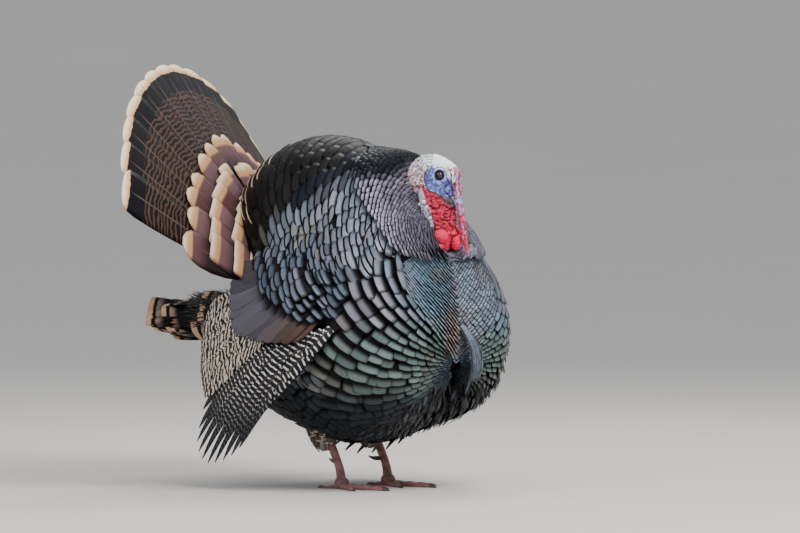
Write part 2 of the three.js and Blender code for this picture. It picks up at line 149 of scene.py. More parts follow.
def makeMesh(name, points, faces, flat=None):  # smooth, but for the faces where flat is true
    mesh = bpy.data.meshes.new(name)
    mesh.vertices.add(len(points))
    mesh.vertices.foreach_set("co", points.astype(np.float32).ravel())
    loops = np.concatenate([f.ravel() for f in faces])
    sizes = np.concatenate([np.full(len(f), f.shape[1]) for f in faces])
    mesh.loops.add(len(loops))
    mesh.loops.foreach_set("vertex_index", loops.astype(np.int32))
    mesh.polygons.add(len(sizes))
    starts = np.concatenate([[0], np.cumsum(sizes)[:-1]])
    mesh.polygons.foreach_set("loop_start", starts.astype(np.int32))
    mesh.update(calc_edges=True)
    smooth = np.ones(len(sizes), bool) if flat is None else ~flat
    mesh.polygons.foreach_set("use_smooth", smooth)
    thing = bpy.data.objects.new(name, mesh)
    bpy.context.scene.collection.objects.link(thing)
    return thing


def putNumbers(thing, name, values):
    layer = thing.data.attributes.new(name, "FLOAT", "POINT")
    layer.data.foreach_set("value", np.asarray(values, np.float32).ravel())


def putColours(thing, name, values):
    layer = thing.data.attributes.new(name, "FLOAT_COLOR", "POINT")
    full = np.ones((len(values), 4), np.float32)
    full[:, : values.shape[1]] = values
    layer.data.foreach_set("color", full.ravel())


def putMap(thing, name, flat):  # a UV map from one pair for each vertex
    corners = np.zeros(len(thing.data.loops), np.int32)
    thing.data.loops.foreach_get("vertex_index", corners)
    layer = thing.data.uv_layers.new(name=name)
    layer.data.foreach_set("uv", flat[corners].astype(np.float32).ravel())


def settle(thing, slot, material, *nodes):  # rides on the body, stands for those nodes
    thing.data.materials.clear()
    thing.data.materials.append(material)
    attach(thing, "root")
    if nodes:
        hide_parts(*nodes)
    return thing


# Shader sums.
class Wire:
    # a node's output; + - * on it add Math nodes, and node() adds any other node
    def __init__(self, tree, socket=None):
        self.tree, self.socket = tree, socket

    def feed(self, target, value):
        if isinstance(value, Wire):
            self.tree.links.new(value.socket, target)
        elif isinstance(value, (tuple, list)) and len(value) == 3 and target.type == "RGBA":
            target.default_value = (*value, 1)
        else:
            target.default_value = value

    def node(self, kind, settings=None, values=None, out=0):
        made = self.tree.nodes.new("ShaderNode" + kind)
        for key, value in (settings or {}).items():
            setattr(made, key, value)
        for key, value in (values or {}).items():
            self.feed(made.inputs[key], value)
        return Wire(self.tree, made.outputs[out])

    def out(self, key):
        return Wire(self.tree, self.socket.node.outputs[key])

    def sum(self, operation, *values):
        return self.node("Math", {"operation": operation}, dict(enumerate(values)))

    def __add__(self, other):
        return self.sum("ADD", self, other)

    def __sub__(self, other):
        return self.sum("SUBTRACT", self, other)

    def __rsub__(self, other):
        return self.sum("SUBTRACT", other, self)

    def __mul__(self, other):
        return self.sum("MULTIPLY", self, other)

    __radd__ = __add__
    __rmul__ = __mul__

    def step(self, low, high):  # 0 below low, 1 above high
        values = {"Value": self, "From Min": low, "From Max": high}
        return self.node("MapRange", {"interpolation_type": "SMOOTHSTEP"}, values)

    def mix(self, a, b):  # colour a where this is 0, b where it is 1
        return self.node("Mix", {"data_type": "RGBA"}, {0: self, 6: a, 7: b}, out=2)

    def tinted(self, colour):  # colour times this number
        return self.node("VectorMath", {"operation": "SCALE"}, {0: colour, "Scale": self})

    def shades(self, depth, colour):  # colour times 1 - depth / 2 where this is 0, 1 + depth / 2 where 1
        return (self * depth + (1 - depth / 2)).tinted(colour)

    def joined(self, x, y, z):
        return self.node("CombineXYZ", {}, {0: x, 1: y, 2: z})

    def place(self):  # the point in the piece's own frame
        return self.node("TexCoord", out="Object")

    def named(self, name, out="Fac"):
        return self.node("Attribute", {"attribute_name": name}, out=out)

    def noise(self, vector, scale, detail=2.0):
        return self.node("TexNoise", {}, {"Vector": vector, "Scale": scale, "Detail": detail})

    def bump(self, height, strength, distance):
        return self.node("Bump", {}, {"Height": height, "Strength": strength, "Distance": distance})


def surface(colour, rough, normal):
    return {"Base Color": colour, "Roughness": rough, "Normal": normal}


def finish(name, recipe, **fixed):  # a material: fixed inputs, and those that the recipe works out
    material = bpy.data.materials.new(name)
    material.use_nodes = True
    shader = material.node_tree.nodes["Principled BSDF"]
    wire = Wire(material.node_tree)
    for socket, value in {**fixed, **recipe(wire)}.items():
        wire.feed(shader.inputs[socket], value)
    return material


# across runs 0..1 over a vane and reach 0..1 from root to tip; side is 0 at the shaft and 1 at the edges
def vaneSpots(w):
    spots = w.node("SeparateXYZ", {}, {0: w.node("UVMap", {"uv_map": "vane"})})
    side = w.sum("ABSOLUTE", spots.out("X") * 2 - 1)
    return spots.out("X"), spots.out("Y"), side


# fine slanted barbs: noise drawn out along lines that leave the shaft at a slant
def barbs(w, across, side, metres, slant, fine):
    lean = metres * slant + side * 0.6
    return w.noise(w.joined(across * 3, lean * fine, w.named("tone") * 40), 1.0)


# Trunk: soft joined lumps, each (centre, half sizes), as in the solids.
trunk = {
    "core": vec(0, 0, 0.330),
    "blend": 0.014,
    "single": [((0, 0.017, 0.297), (0.213, 0.202, 0.215)),
               ((0, 0.088, 0.441), (0.170, 0.160, 0.160)),
               ((0, 0.139, 0.274), (0.158, 0.117, 0.150))],
    "paired": [((0.079, -0.090, 0.267), (0.117, 0.113, 0.141)),
               ((0.030, -0.050, 0.474), (0.066, 0.062, 0.090)),
               ((0.044, -0.100, 0.405), (0.062, 0.072, 0.066))],
    "coat": 0.013,       # how far the bare skin lies under the feathers
    "far": 0.42,         # no ray from the core is longer
    "table": (288, 145),  # rays round the core and from pole to pole
    "soft": 1.3,         # the slope is read from lumps joined this much more softly
}
mirror = vec(-1, 1, 1)
paired = [(vec(*at) * flip, half) for at, half in trunk["paired"] for flip in (1, mirror)]
trunkLumps = [(vec(*at), vec(*half)) for at, half in trunk["single"] + paired]


# value = -blend * log(sum of exp(-value of each lump / blend)), below nought inside;
# the slope is the mean of the lumps' own slopes by the same weights
def lumpField(points, lumps, blend):
    weights, slopes = 0, 0
    for at, half in lumps:
        q = (points - at) / half
        far = np.linalg.norm(q, axis=-1)
        share = np.exp(-np.clip((far - 1) * half.min() / blend, -40, 40))
        weights = weights + share
        slopes = slopes + share[..., None] * (q / half / np.maximum(far, 1e-6)[..., None]) * half.min()
    return -blend * np.log(weights), unit(slopes)


# how far out each ray from the core meets the lumps: marched inwards, then the last stretch is halved
def rayReach(rays, core, lumps, blend, reach, marches=48, halvings=14):
    stops = np.linspace(reach, reach / marches, marches)
    value = lumpField(core + rays[:, None] * stops[:, None], lumps, blend)[0]
    first = np.argmax(value <= 0, 1)
    low = stops[first]
    high = low + reach / marches
    for _ in range(halvings):
        mid = (low + high) / 2
        outside = lumpField(core + rays * mid[:, None], lumps, blend)[0] > 0
        high = np.where(outside, mid, high)
        low = np.where(outside, low, mid)
    return low


def sphereRays(around, tall):  # rays over a globe, pole up
    lift = np.linspace(-math.pi / 2, math.pi / 2, tall)
    lift, swing = np.meshgrid(lift, circle(around), indexing="ij")
    ray = [np.cos(lift) * np.sin(swing), -np.cos(lift) * np.cos(swing), np.sin(lift)]
    return np.stack(ray, -1)


tableAround, tableTall = trunk["table"]
tableRays = sphereRays(tableAround, tableTall).reshape(-1, 3)
reachTable = rayReach(tableRays, trunk["core"], trunkLumps, trunk["blend"], trunk["far"])
reachTable = reachTable.reshape(tableTall, tableAround)


def rayAngles(rays):  # how far round from the front and how high, both as shares 0..1
    around = np.mod(np.arctan2(rays[..., 0], -rays[..., 1]) / (2 * math.pi), 1)
    return around, np.arcsin(np.clip(rays[..., 2], -1, 1)) / math.pi + 0.5


# the trunk's surface along rays: read from the table, with the slope of the lumps as its normal
def trunkAt(rays):
    rays = unit(rays)
    around, high = rayAngles(rays)
    x, y = around * tableAround, high * (tableTall - 1)
    i, j = np.floor(x).astype(int), np.minimum(np.floor(y).astype(int), tableTall - 2)
    u, v = x - i, y - j
    i, k = i % tableAround, (i + 1) % tableAround
    low = reachTable[j, i] * (1 - u) + reachTable[j, k] * u
    high = reachTable[j + 1, i] * (1 - u) + reachTable[j + 1, k] * u
    points = trunk["core"] + rays * (low * (1 - v) + high * v)[..., None]
    return points, lumpField(points, trunkLumps, trunk["blend"] * trunk["soft"])[1]


def trunkMap(points):  # unwrap: turn about the core and height, 0..1
    around, high = rayAngles(unit(points - trunk["core"]))
    return 0.01 + 0.97 * np.stack([np.mod(around + 0.5, 1), high], -1)


# Vanes: where a vane's stations stand from root to tip, and how wide it is there.
outlines = {
    "square": ([0, 0.25, 0.5, 0.7, 0.86, 0.96, 1], [0.35, 0.72, 0.94, 1, 1, 0.97, 0.86]),
    "round": ([0, 0.25, 0.5, 0.72, 0.86, 0.95, 1], [0.35, 0.75, 0.97, 1, 0.87, 0.6, 0.2]),
    "long": ([0, 0.12, 0.28, 0.44, 0.6, 0.75, 0.87, 0.95, 1],
             [0.3, 0.5, 0.72, 0.86, 0.95, 1, 0.97, 0.75, 0.3]),
    "fan": ([0, 0.15, 0.32, 0.5, 0.66, 0.8, 0.92, 0.972, 0.992, 1],
            [0.3, 0.42, 0.58, 0.75, 0.9, 1, 1.03, 0.96, 0.8, 0.5]),
    "primary": ([0, 0.15, 0.35, 0.5, 0.6, 0.7, 0.82, 0.92, 1],
                [0.45, 0.8, 1, 0.90, 0.62, 0.44, 0.35, 0.26, 0.06]),
    "blade": ([0, 0.2, 0.4, 0.6, 0.8, 0.93, 1], [0.6, 0.9, 1, 0.9, 0.62, 0.3, 0.06]),
}


# How a vane lies unless a call says otherwise. depth, lift: how far its root lies under the chart and its tip
# over it. crown, roll: arch and tilt across, in half widths. cut: how far its edges fall back at the tip.
# ragged: how much lengths and widths vary. swing: loose turns to the side. sweep: a bow to the side.
vaneStyle = {"outline": "square", "columns": 5, "depth": 0.010, "lift": 0.0015, "crown": 0.18, "roll": 0.07,
             "rollJitter": 0.03, "cut": 0.12, "ragged": 0.08, "riseJitter": 4e-4, "swing": 0.06, "sweep": 0.0,
             "square": 0.0}


# A vane's spine follows chart(p, q) with q running to its tip, and p held or, with square, drifting so that
# the spine crosses its row squarely: dp/dq = -(along . across) / (along . along). At station v it lies
# -depth (1 - v)^1.4 + lift v^2 off the chart. A point u across it (-1..1) stands at
# spine + across u half(v) + up (crown half (1 - u^2) + roll u half) - along cut u^2 half.
def layVanes(chart, p, q, length, width, **how):
    style = {**vaneStyle, **how}
    p, q = np.broadcast_arrays(np.asarray(p, float), np.asarray(q, float))
    count = len(p)
    length = np.broadcast_to(length, count) * spread(style["ragged"], count)
    width = np.broadcast_to(width, count) * spread(style["ragged"], count)
    stations, widths = (np.array(row) for row in outlines[style["outline"]])
    here = chart(p, q)[0]
    alongRow, acrossRow = chart(p + 1e-3, q)[0] - here, here - chart(p, q - 1e-3)[0]
    lean = -np.sum(alongRow * acrossRow, -1) / np.maximum(np.sum(alongRow**2, -1), 1e-12) * style["square"]
    pace = np.linalg.norm(acrossRow + alongRow * lean[:, None], axis=-1) / 1e-3
    steps = -(1 - stations) * (length / np.maximum(pace, 1e-6))[:, None]
    spine, up = chart(p[:, None] + lean[:, None] * steps, q[:, None] + steps)
    ahead = unit(np.gradient(spine, axis=1))
    across = unit(np.cross(ahead, up))
    up = unit(np.cross(across, ahead))
    rise = -style["depth"] * (1 - stations) ** 1.4 + style["lift"] * stations**2
    rise = rise + dice.uniform(-1, 1, (count, 1)) * style["riseJitter"]
    swing = dice.normal(0, style["swing"], (count, 1)) * stations**1.5 * length[:, None]
    swing = swing + style["sweep"] * (stations**2 - stations) * length[:, None]
    spine = spine + up * rise[..., None] + across * swing[..., None]
    u = np.linspace(-1, 1, style["columns"])
    half = (width[:, None] * widths / 2)[..., None]
    roll = style["roll"] + dice.normal(0, style["rollJitter"], (count, 1, 1))
    points = spine[:, :, None] + across[:, :, None] * (half * u)[..., None]
    points = points + up[:, :, None] * (half * (style["crown"] * (1 - u * u) + roll * u))[..., None]
    cut = (stations**2)[:, None] * u * u * style["cut"] * half
    points = points - ahead[:, :, None] * cut[..., None]
    flat = np.stack(np.meshgrid((u + 1) / 2, stations), -1)
    return {"points": points, "vane": np.broadcast_to(flat, (*points.shape[:3], 2)), "length": length,
            "root": spine[:, 0], "tip": spine[:, -1], "tone": dice.uniform(0, 1, count)}


# faces of closed vanes of stations x columns, one after another: raised tops, flat undersides, thin ends
def vaneFaces(count, stations, columns, first=0):
    s, c = np.meshgrid(np.arange(stations - 1), np.arange(columns - 1), indexing="ij")
    a = (s * columns + c).ravel()
    top = np.stack([a, a + 1, a + 1 + columns, a + columns], -1)
    s = np.arange(stations - 1) * columns
    under = np.stack([s, s + columns, s + 2 * columns - 1, s + columns - 1], -1)
    ends = np.stack([np.arange(columns)[::-1], np.arange(columns) + (stations - 1) * columns])
    shift = first + np.arange(count)[:, None, None] * stations * columns
    return [(faces + shift).reshape(-1, faces.shape[1]) for faces in (top, under, ends)]


# One coat piece from several lays of vanes. A lay also holds its colours (sheen, rim) and where its bands
# stand (marks), each for the whole lay or for every vane. In OFBake every vane is a small patch at its root's
# place on the unwrap, unless its lay says where (bake) and how large (patch).
def makeCoat(name, lays, slot, material, nodes=(), unwrap=trunkMap, patch=0.003):
    quads, flats, ends, first = [], [], {}, 0
    held = {key: [] for key in ("points", "vane", "bake", "tone", "length", "sheen", "rim", "marks")}
    for lay in lays:
        count, stations, columns = lay["points"].shape[:3]
        each = stations * columns
        top, under, caps = vaneFaces(count, stations, columns, first)
        quads.append(top)
        flats.append(under)
        ends.setdefault(columns, []).append(caps)
        place = lay["bake"] if "bake" in lay else unwrap(lay["root"])
        size = vec(*lay.get("patch", (patch, patch)))
        held["points"].append(lay["points"].reshape(-1, 3))
        held["vane"].append(lay["vane"].reshape(-1, 2))
        held["bake"].append((place[:, None, None] + lay["vane"] * size).reshape(-1, 2))
        for key in ("tone", "length"):
            held[key].append(np.repeat(lay[key], each))
        for key in ("sheen", "rim", "marks"):
            held[key].append(np.repeat(np.broadcast_to(lay[key], (count, 3)), each, 0))
        first += count * each
    held = {key: np.concatenate(rows) for key, rows in held.items()}
    faces = [np.vstack(rows) for rows in (quads, flats, *ends.values())]
    flat = np.concatenate([np.full(len(f), k > 0) for k, f in enumerate(faces)])
    feathers = makeMesh(name, held["points"], faces, flat)
    putMap(feathers, "OFBake", np.clip(held["bake"], 0, 1))
    putMap(feathers, "vane", held["vane"])
    putNumbers(feathers, "tone", held["tone"])
    putNumbers(feathers, "span", held["length"])
    for key in ("sheen", "rim", "marks"):
        putColours(feathers, key, held[key])
    triangles = sum(len(f) * (f.shape[1] - 2) for f in faces)
    print(f"{name}: {sum(len(lay['tone']) for lay in lays)} vanes, {triangles} triangles")
    settle(feathers, slot, material, *nodes)


# rows of sites: row k stands at q = rows[k], its vanes gapOf(q) apart, every other row half a space on
def siteRows(rows, low, high, gapOf):
    p, q = [], []
    for k, row in enumerate(rows):
        gap = gapOf(row)
        count = max(int((high - low) / gap), 1)
        spots = np.arange(count) + (k % 2) * 0.5 + dice.uniform(-0.12, 0.12, count)
        p.append(low + (high - low) * spots / count)
        q.append(np.full(count, row) + dice.uniform(-0.06, 0.06, count) * gap)
    return np.concatenate(p), np.concatenate(q)


coat = {"black": (0.0055, 0.0055, 0.0065), "metal": 0.35, "rough": 0.60}


# body feather: a dark root (partly its own dark base, partly painted shade under the row above), a broad
# metallic band (marks.r to marks.g), a black edge, then a rim past marks.b
def coatRecipe(w):
    across, reach, side = vaneSpots(w)
    marks = w.node("SeparateXYZ", {}, {0: w.named("marks", "Vector")})
    streak = barbs(w, across, side, reach, 1.0, 55)
    tone = w.named("tone")
    # painted shade with the dark base: the band fades to black towards the root, where the row above overlaps
    rootShadeFade = (reach - marks.out("X")).step(-0.04, 0.14)
    band = rootShadeFade * (marks.out("Y") - reach - side * 0.02).step(-0.012, 0.012)
    rim = (reach + (streak - 0.5) * 0.04 - marks.out("Z")).step(-0.02, 0.02)
    bright = (tone * 0.6 + 0.66) * (streak * 0.7 + 0.65)
    sheen = bright.tinted(w.named("sheen", "Color"))
    colour = band.mix(coat["black"], sheen)
    colour = rim.mix(colour, streak.shades(0.4, w.named("rim", "Color")))
    rough = coat["rough"] - band * 0.20 + rim * 0.1 + (streak - 0.5) * 0.14
    metal = band * (1 - rim) * coat["metal"]
    return {**surface(colour, rough, w.bump(streak, 0.4, 0.0007)), "Metallic": metal}


plume = {"Specular IOR Level": 0.09}
coatFinish = finish("bodyFeather", coatRecipe, **plume)
lavender, blueBack, teal = vec(0.200, 0.193, 0.235), vec(0.006, 0.009, 0.015), vec(0.165, 0.265, 0.345)
bronze, greenTeal, cream = vec(0.26, 0.165, 0.115), vec(0.160, 0.222, 0.210), vec(0.66, 0.53, 0.40)
slate, olive, soot = vec(0.140, 0.165, 0.205), vec(0.19, 0.195, 0.140), vec(0.009, 0.008, 0.008)


def bands(low, high, rim):  # a lay's marks: its bright band from low to high, its rim from there to the tip
    return np.stack(np.broadcast_arrays(low, high, rim), -1)


# Wings: a bowed sheet beside the trunk, as in the solids; depth is how far below it a vane lies.
wing = {"bulge": 0.239, "middle": 0.010, "bowFront": 0.025, "bowBack": 0.030, "shoulder": 0.300,
        "shoulderBow": 0.019, "splay": 0.05}
coverts = {
    "pole": vec(-0.283, 0.491),                         # y and z of the point that their rows turn about
    "centre": vec(0.015, 0.335), "half": vec(0.121, 0.106), "skew": 0.12,    # their oval
    "topLine": (0.372, 0.33),                           # height and slope of the lowest shoulder feathers
    "rows": (0.20, 0.45, 0.0118), "turns": (0.05, 1.15), "apart": 0.025,
    "smallDepth": -0.001, "greatDepth": 0.003,          # how far under the wing's sheet they lie
    "small": {"length": 0.042, "width": 0.034, "columns": 7, "depth": 0.0085, "lift": 0.0035, "crown": 0.10,
              "ragged": 0.14},
    "great": {"width": 0.030, "outline": "round", "columns": 7, "depth": 0.001, "lift": 0.0, "crown": 0.12,
              "swing": 0.01},
    "greatTurns": (16, 41, 15),                         # first and last in degrees, and how many
    "greatReach": ([16, 28, 36, 41], [0.440, 0.462, 0.395, 0.350]),
    "greatLength": ([16, 28, 36, 41], [0.110, 0.135, 0.100, 0.070]),
}


# x = bulge less (off / bow)^2 and (rise / shoulderBow)^2, in millimetres, plus splay times fall, less depth;
# off is the way back from the middle, rise and fall the way up and down from the shoulder
def wingSheet(y, z, side, depth):
    off = y - wing["middle"]
    bow = np.where(off > 0, wing["bowBack"], wing["bowFront"])
    rise, fall = np.maximum(z - wing["shoulder"], 0), np.maximum(wing["shoulder"] - z, 0)
    inward = (off / bow) ** 2 * mm
    x = wing["bulge"] - inward - (rise / wing["shoulderBow"]) ** 2 * mm + fall * wing["splay"] - depth
    slopeY = -2 * off / bow**2 * mm
    slopeZ = -2 * rise / wing["shoulderBow"] ** 2 * mm - wing["splay"] * (fall > 0)
    normal = unit(np.stack([side + 0 * y, -slopeY, -slopeZ], -1))
    return np.stack([side * x, y, z], -1), normal


def shoulderLine(y):  # height of the lowest shoulder feathers over the wing
    return coverts["topLine"][0] + (y + 0.08) * coverts["topLine"][1]


def covertRing(y, z):  # 1 on the rim of the coverts' oval, less inside it
    off = np.stack([y, z], -1) - coverts["centre"]
    lean = off[..., :1] + off[..., 1:] * coverts["skew"]
    return np.linalg.norm(np.concatenate([lean, off[..., 1:]], -1) / coverts["half"], axis=-1)


# Ruff: p turns about the foot of the neck (0 is the front), q is the angle away from it.
ruff = {
    "pole": unit(vec(0, -0.165, 0.095)), "swell": 0.010,
    # how far it reaches from the foot of the neck, by the turn about it
    "edge": ([0, 0.9, 1.11, 1.31, 1.63, 2.0, 2.3, 2.62, 3.2],
             [0.20, 0.24, 0.34, 0.50, 0.61, 0.66, 0.77, 0.95, 1.04]),
}
ruffUp = unit(np.cross(vec(1, 0, 0), ruff["pole"]))


def maneEdge(p):  # how far the ruff reaches at turn p, between the table's values
    return np.interp(np.abs(p), *ruff["edge"])


def ruffTurn(at):  # p and q of the ruff's chart at these points
    ray = unit(at - trunk["core"])
    return np.arctan2(ray[..., 0], ray @ ruffUp), np.arccos(np.clip(ray @ ruff["pole"], -1, 1))


# the trunk's surface on the ray pole cos q + (up cos p + sideways sin p) sin q
def ruffChart(p, q):
    level = ruffUp * np.cos(p)[..., None] + vec(1, 0, 0) * np.sin(p)[..., None]
    return trunkAt(ruff["pole"] * np.cos(q)[..., None] + level * np.sin(q)[..., None])


def maneChart(p, q):  # the same, rising by swell to an overhanging edge
    points, normals = ruffChart(p, q)
    share = q / maneEdge(p)
    swell = ruff["swell"] * ease(share, 0.45, 0.95) * ease(np.abs(p), 0.3, 1.1)
    return points + normals * swell[..., None], normals


# Breast: rows run out from the foot of the middle line. q is the turn of a row at its foot, p the
# distance from there; a row bends up as it runs out, by q bend exp((59 - q) / 22) (p / spread)^3.5 with q in
# degrees. Above the first row the rows are shifted copies of it.
breast = {
    "foot": -0.55, "radius": 0.205, "bend": 0.27, "spread": 0.246,
    "first": 0.90, "last": 3.12, "gap": 0.083,          # turns of the rows of broad feathers
    "near": 0.02, "far": 0.31,                          # distances of the first and last feather of a row
    "start": 0.010, "grow": 0.13, "apart": 0.78,        # they stand apart (start + grow p) from each other
    "broad": {"columns": 7, "lift": 0.004, "depth": 0.012, "cut": 0.05, "crown": 0.09, "ragged": 0.12,
              "square": 1},
    "fineTop": 0.196, "fineGap": 0.0078, "fineApart": 0.011,
    "fine": {"length": 0.018, "width": 0.0145, "columns": 5, "lift": 0.0022, "depth": 0.009, "cut": 0.04,
             "crown": 0.10, "square": 1, "swing": 0.03},
    # how far back the breast reaches, by height
    "rear": ([0.08, 0.19, 0.262, 0.30, 0.33, 0.42], [0.12, 0.05, -0.055, -0.085, -0.090, -0.082]),
}


def breastChart(side, shifted):
    def chart(p, q):
        turned = breast["first"] * 0.97 if shifted else q
        bend = breast["bend"] * np.exp((59 - turned / turn) / 22) * (np.abs(p) / breast["spread"]) ** 3.5
        bent = turned * (1 - np.minimum(bend, 0.6))
        shift = -q if shifted else 0
        sideways = p * np.sin(bent) / breast["radius"]
        up = (p * np.cos(bent) + shift) / breast["radius"] + breast["foot"]
        ray = [side * np.sin(sideways) * np.cos(up), -np.cos(sideways) * np.cos(up), np.sin(up)]
        return trunkAt(np.stack(ray, -1))
    return chart


# colours of the breast by height, distance from the middle line and place round the side
def breastLook(at):
    off, z = np.abs(at[:, 0]), at[:, 2]
    patch = grain(at, 28, 4)
    sheen = mixed(teal, lavender * 0.92, ease(off + patch * 0.02, 0.10, 0.15))
    sheen = mixed(sheen, lavender * 1.1, ease(patch, -0.1, 0.5) * 0.5)
    sheen = mixed(sheen, greenTeal, ease(0.31 - z + patch * 0.02, 0, 0.06) * ease(off, 0.02, 0.06))
    rusty = ease(0.325 - z, 0, 0.03) * ease(z, 0.215, 0.25) * np.where(at[:, 0] < 0, 0.75, 0.25)
    sheen = mixed(sheen, bronze, easeDown(off + patch * 0.03, 0.030, 0.055) * rusty)
    sheen = mixed(sheen, bronze * 0.8, ease(grain(at, 22, 9), 0.25, 0.6) * 0.4)
    foot = ease(0.235 - z, 0, 0.03) * easeDown(off, 0.04, 0.09)
    sheen = mixed(sheen, slate * 0.35, foot * 0.85)
    sheen = mixed(sheen, slate * 0.22, ease(0.180 - z, -0.01, 0.035))
    # painted shade: greyer and darker down the middle line, in the furrow between the breast's lobes
    return mixed(sheen, vec(0.13, 0.15, 0.17), easeDown(off, 0.004, 0.022) * ease(z, 0.24, 0.3) * 0.6)


# tips of the feathers: in each row the same spots, every other row shifted, with some jitter along and across
def breastSites(rows, gap, spots, shift, jitterAlong, jitterAcross):
    p, q = [], []
    for k, row in enumerate(rows):
        p.append(spots + (k % 2) * shift + dice.uniform(-jitterAlong, jitterAlong, len(spots)))
        q.append(row + dice.uniform(-jitterAcross, jitterAcross, len(spots)) * gap)
    return np.concatenate(p), np.concatenate(q)


def breastKept(chart, p, q, slack):  # the sites outside the ruff, ahead of the flanks and below the neck
    at = chart(p, q)[0]
    turned, away = ruffTurn(at)
    rear = np.interp(at[:, 2], *breast["rear"])
    keep = (away > maneEdge(turned) - slack) & (at[:, 1] < rear) & (at[:, 2] < 0.47)
    return p[keep], q[keep], at[keep]


def broadLay(side):  # broad feathers in rows from the foot; ln(start + grow p) goes in even steps along a row
    chart = breastChart(side, False)
    start, grow = breast["start"], breast["grow"]
    first, last = math.log(start + grow * breast["near"]), math.log(start + grow * breast["far"])
    spots = np.arange(first, last, grow * breast["apart"])
    rows = np.arange(breast["first"], breast["last"], breast["gap"])
    p, q = breastSites(rows, breast["gap"], spots, 0.4 * grow, 0.15 * grow, 0.14)
    p, q, tip = breastKept(chart, (np.exp(p) - start) / grow, q, 0.05)
    p, q, tip = (row[p > 0.004] for row in (p, q, tip))
    length, width = np.clip(0.27 * p + 0.006, 0.014, 0.056), 0.008 + 0.140 * p
    lay = layVanes(chart, p, q, length, width, roll=0.06 * side, **breast["broad"])
    marks = bands(0.12 + 0.60 * ease(p, 0.014, 0.045), 0.965, 2)
    lay.update(sheen=breastLook(tip) * 0.9, rim=soot, marks=marks)
    return lay


def fineLay(side):  # fine feathers of the middle, rows shifted up the middle line
    chart = breastChart(side, True)
    apart = breast["fineApart"]
    rows = np.arange(-breast["fineTop"], -0.001, breast["fineGap"])
    p, q = breastSites(rows, breast["fineGap"], np.arange(0.005, 0.24, apart), 0.5 * apart, 0.0012, 0.1)
    p, q, tip = breastKept(chart, p, q, 0.04)
    lay = layVanes(chart, p, q, roll=0.04 * side, **breast["fine"])
    # painted light: the right side's fine feathers brightened by 1.9, the left side's greyed and darkened to
    # 0.85, as lit and shaded copies of one breast colour
    sheen = breastLook(tip) * 1.9 if side < 0 else mixed(breastLook(tip), lavender, 0.45) * 0.85
    lay.update(sheen=sheen, rim=soot, marks=vec(0.55, 0.95, 2))
    return lay


breastLays = [makeLay(side) for side in sides.values() for makeLay in (broadLay, fineLay)]
makeCoat("breastFeathers", breastLays, "body_feathers_dark", coatFinish, ("breast",))


# The rest of the trunk, in rows of the ruff's chart: its colours by height, by distance from the middle line
# and by place in the mane, and where its bands stand.
def ruffLook(at, p, q):
    off, y, z = np.abs(at[:, 0]), at[:, 1], at[:, 2]
    patch = grain(at, 30, 6)
    mane = easeDown(q / maneEdge(p), 0.98, 1.02)
    sheen = mixed(slate, lavender, ease(patch, -0.3, 0.4) * 0.7)
    greenish = ease(y, -0.06, -0.02) * ease(0.47 - z, 0, 0.05) * ease(patch, -0.2, 0.5)
    sheen = mixed(sheen, olive, greenish * 0.8)
    sheen = mixed(sheen, lavender * vec(1.1, 1.08, 1.14) * (0.72 + 0.5 * ease(q, 0.3, 0.7))[:, None], mane)
    dark = ease(z - np.minimum(0.605 - 0.75 * off, 0.535), -0.014, 0.008) * (1 - mane)
    dark = np.maximum(dark, ease(z - (0.560 - 0.35 * off), -0.014, 0.008) * mane)
    sheen = mixed(sheen, blueBack, dark)
    sheen = mixed(sheen, soot * 1.3, ease(y + (z - 0.44) * 0.6, 0.072, 0.105))
    sheen = mixed(sheen, slate * 0.16, ease(0.21 - z, 0, 0.05))
    creamy = ease(y, 0.10, 0.17) * ease(z, 0.27, 0.31)
    rim = 2 - 1.06 * (creamy > dice.uniform(0.3, 0.9, len(at)))
    low = 0.70 - mane * (0.14 - 0.15 * ease(q, 0.35, 0.85))
    high = 0.955 + mane * (0.032 - 0.052 * ease(q, 0.25, 0.85))
    return sheen, bands(low, high, rim)


def offWing(at):  # not where the wing lies bare: below the shoulder feathers, in its oval
    low = at[:, 2] < shoulderLine(at[:, 1]) - 0.004
    near = (covertRing(at[:, 1], at[:, 2]) < 1.05) & (np.abs(at[:, 0]) > 0.10)
    return ~(low & near)


def maneKeeps(at, p, q):
    return q < maneEdge(p)


def backKeeps(at, p, q):
    return (at[:, 2] > 0.24) & (q > maneEdge(p) - 0.07) & (np.abs(p) > 1.5) & (at[:, 1] > -0.12) & offWing(at)


def bellyKeeps(at, p, q):
    return (at[:, 2] < 0.255) & (at[:, 1] > -0.03)


ruffBands = {  # rows from and to, the gaps between them there, the size of a vane, how it lies
    "maneFeathers": {"rows": (0.16, 1.06), "gaps": (0.019, 0.040), "width": 0.016, "length": 0.026,
                     "style": {"lift": 0.0022, "columns": 5, "crown": 0.16},
                     "chart": maneChart, "keeps": maneKeeps, "nodes": ("mane",)},
    "backFeathers": {"rows": (0.45, 3.00), "gaps": (0.054, 0.060), "width": 0.046, "length": 0.054,
                     "style": {"lift": 0.0032, "columns": 7, "crown": 0.10},
                     "chart": ruffChart, "keeps": backKeeps, "nodes": ("back", "flanks", "rump")},
    "bellyFeathers": {"rows": (1.2, 3.06), "gaps": (0.070, 0.075), "width": 0.036, "length": 0.056,
                      "style": {"lift": 0.004, "columns": 5, "crown": 0.12},
                      "chart": ruffChart, "keeps": bellyKeeps, "nodes": ("belly",)},
}
loose = {"count": 240, "turns": (-0.35, 0.75), "away": (1.28, 1.95),
         "style": {"length": 0.042, "width": 0.013, "outline": "blade", "depth": 0.003, "lift": 0.011,
                   "crown": 0.2, "swing": 0.2, "ragged": 0.3}}


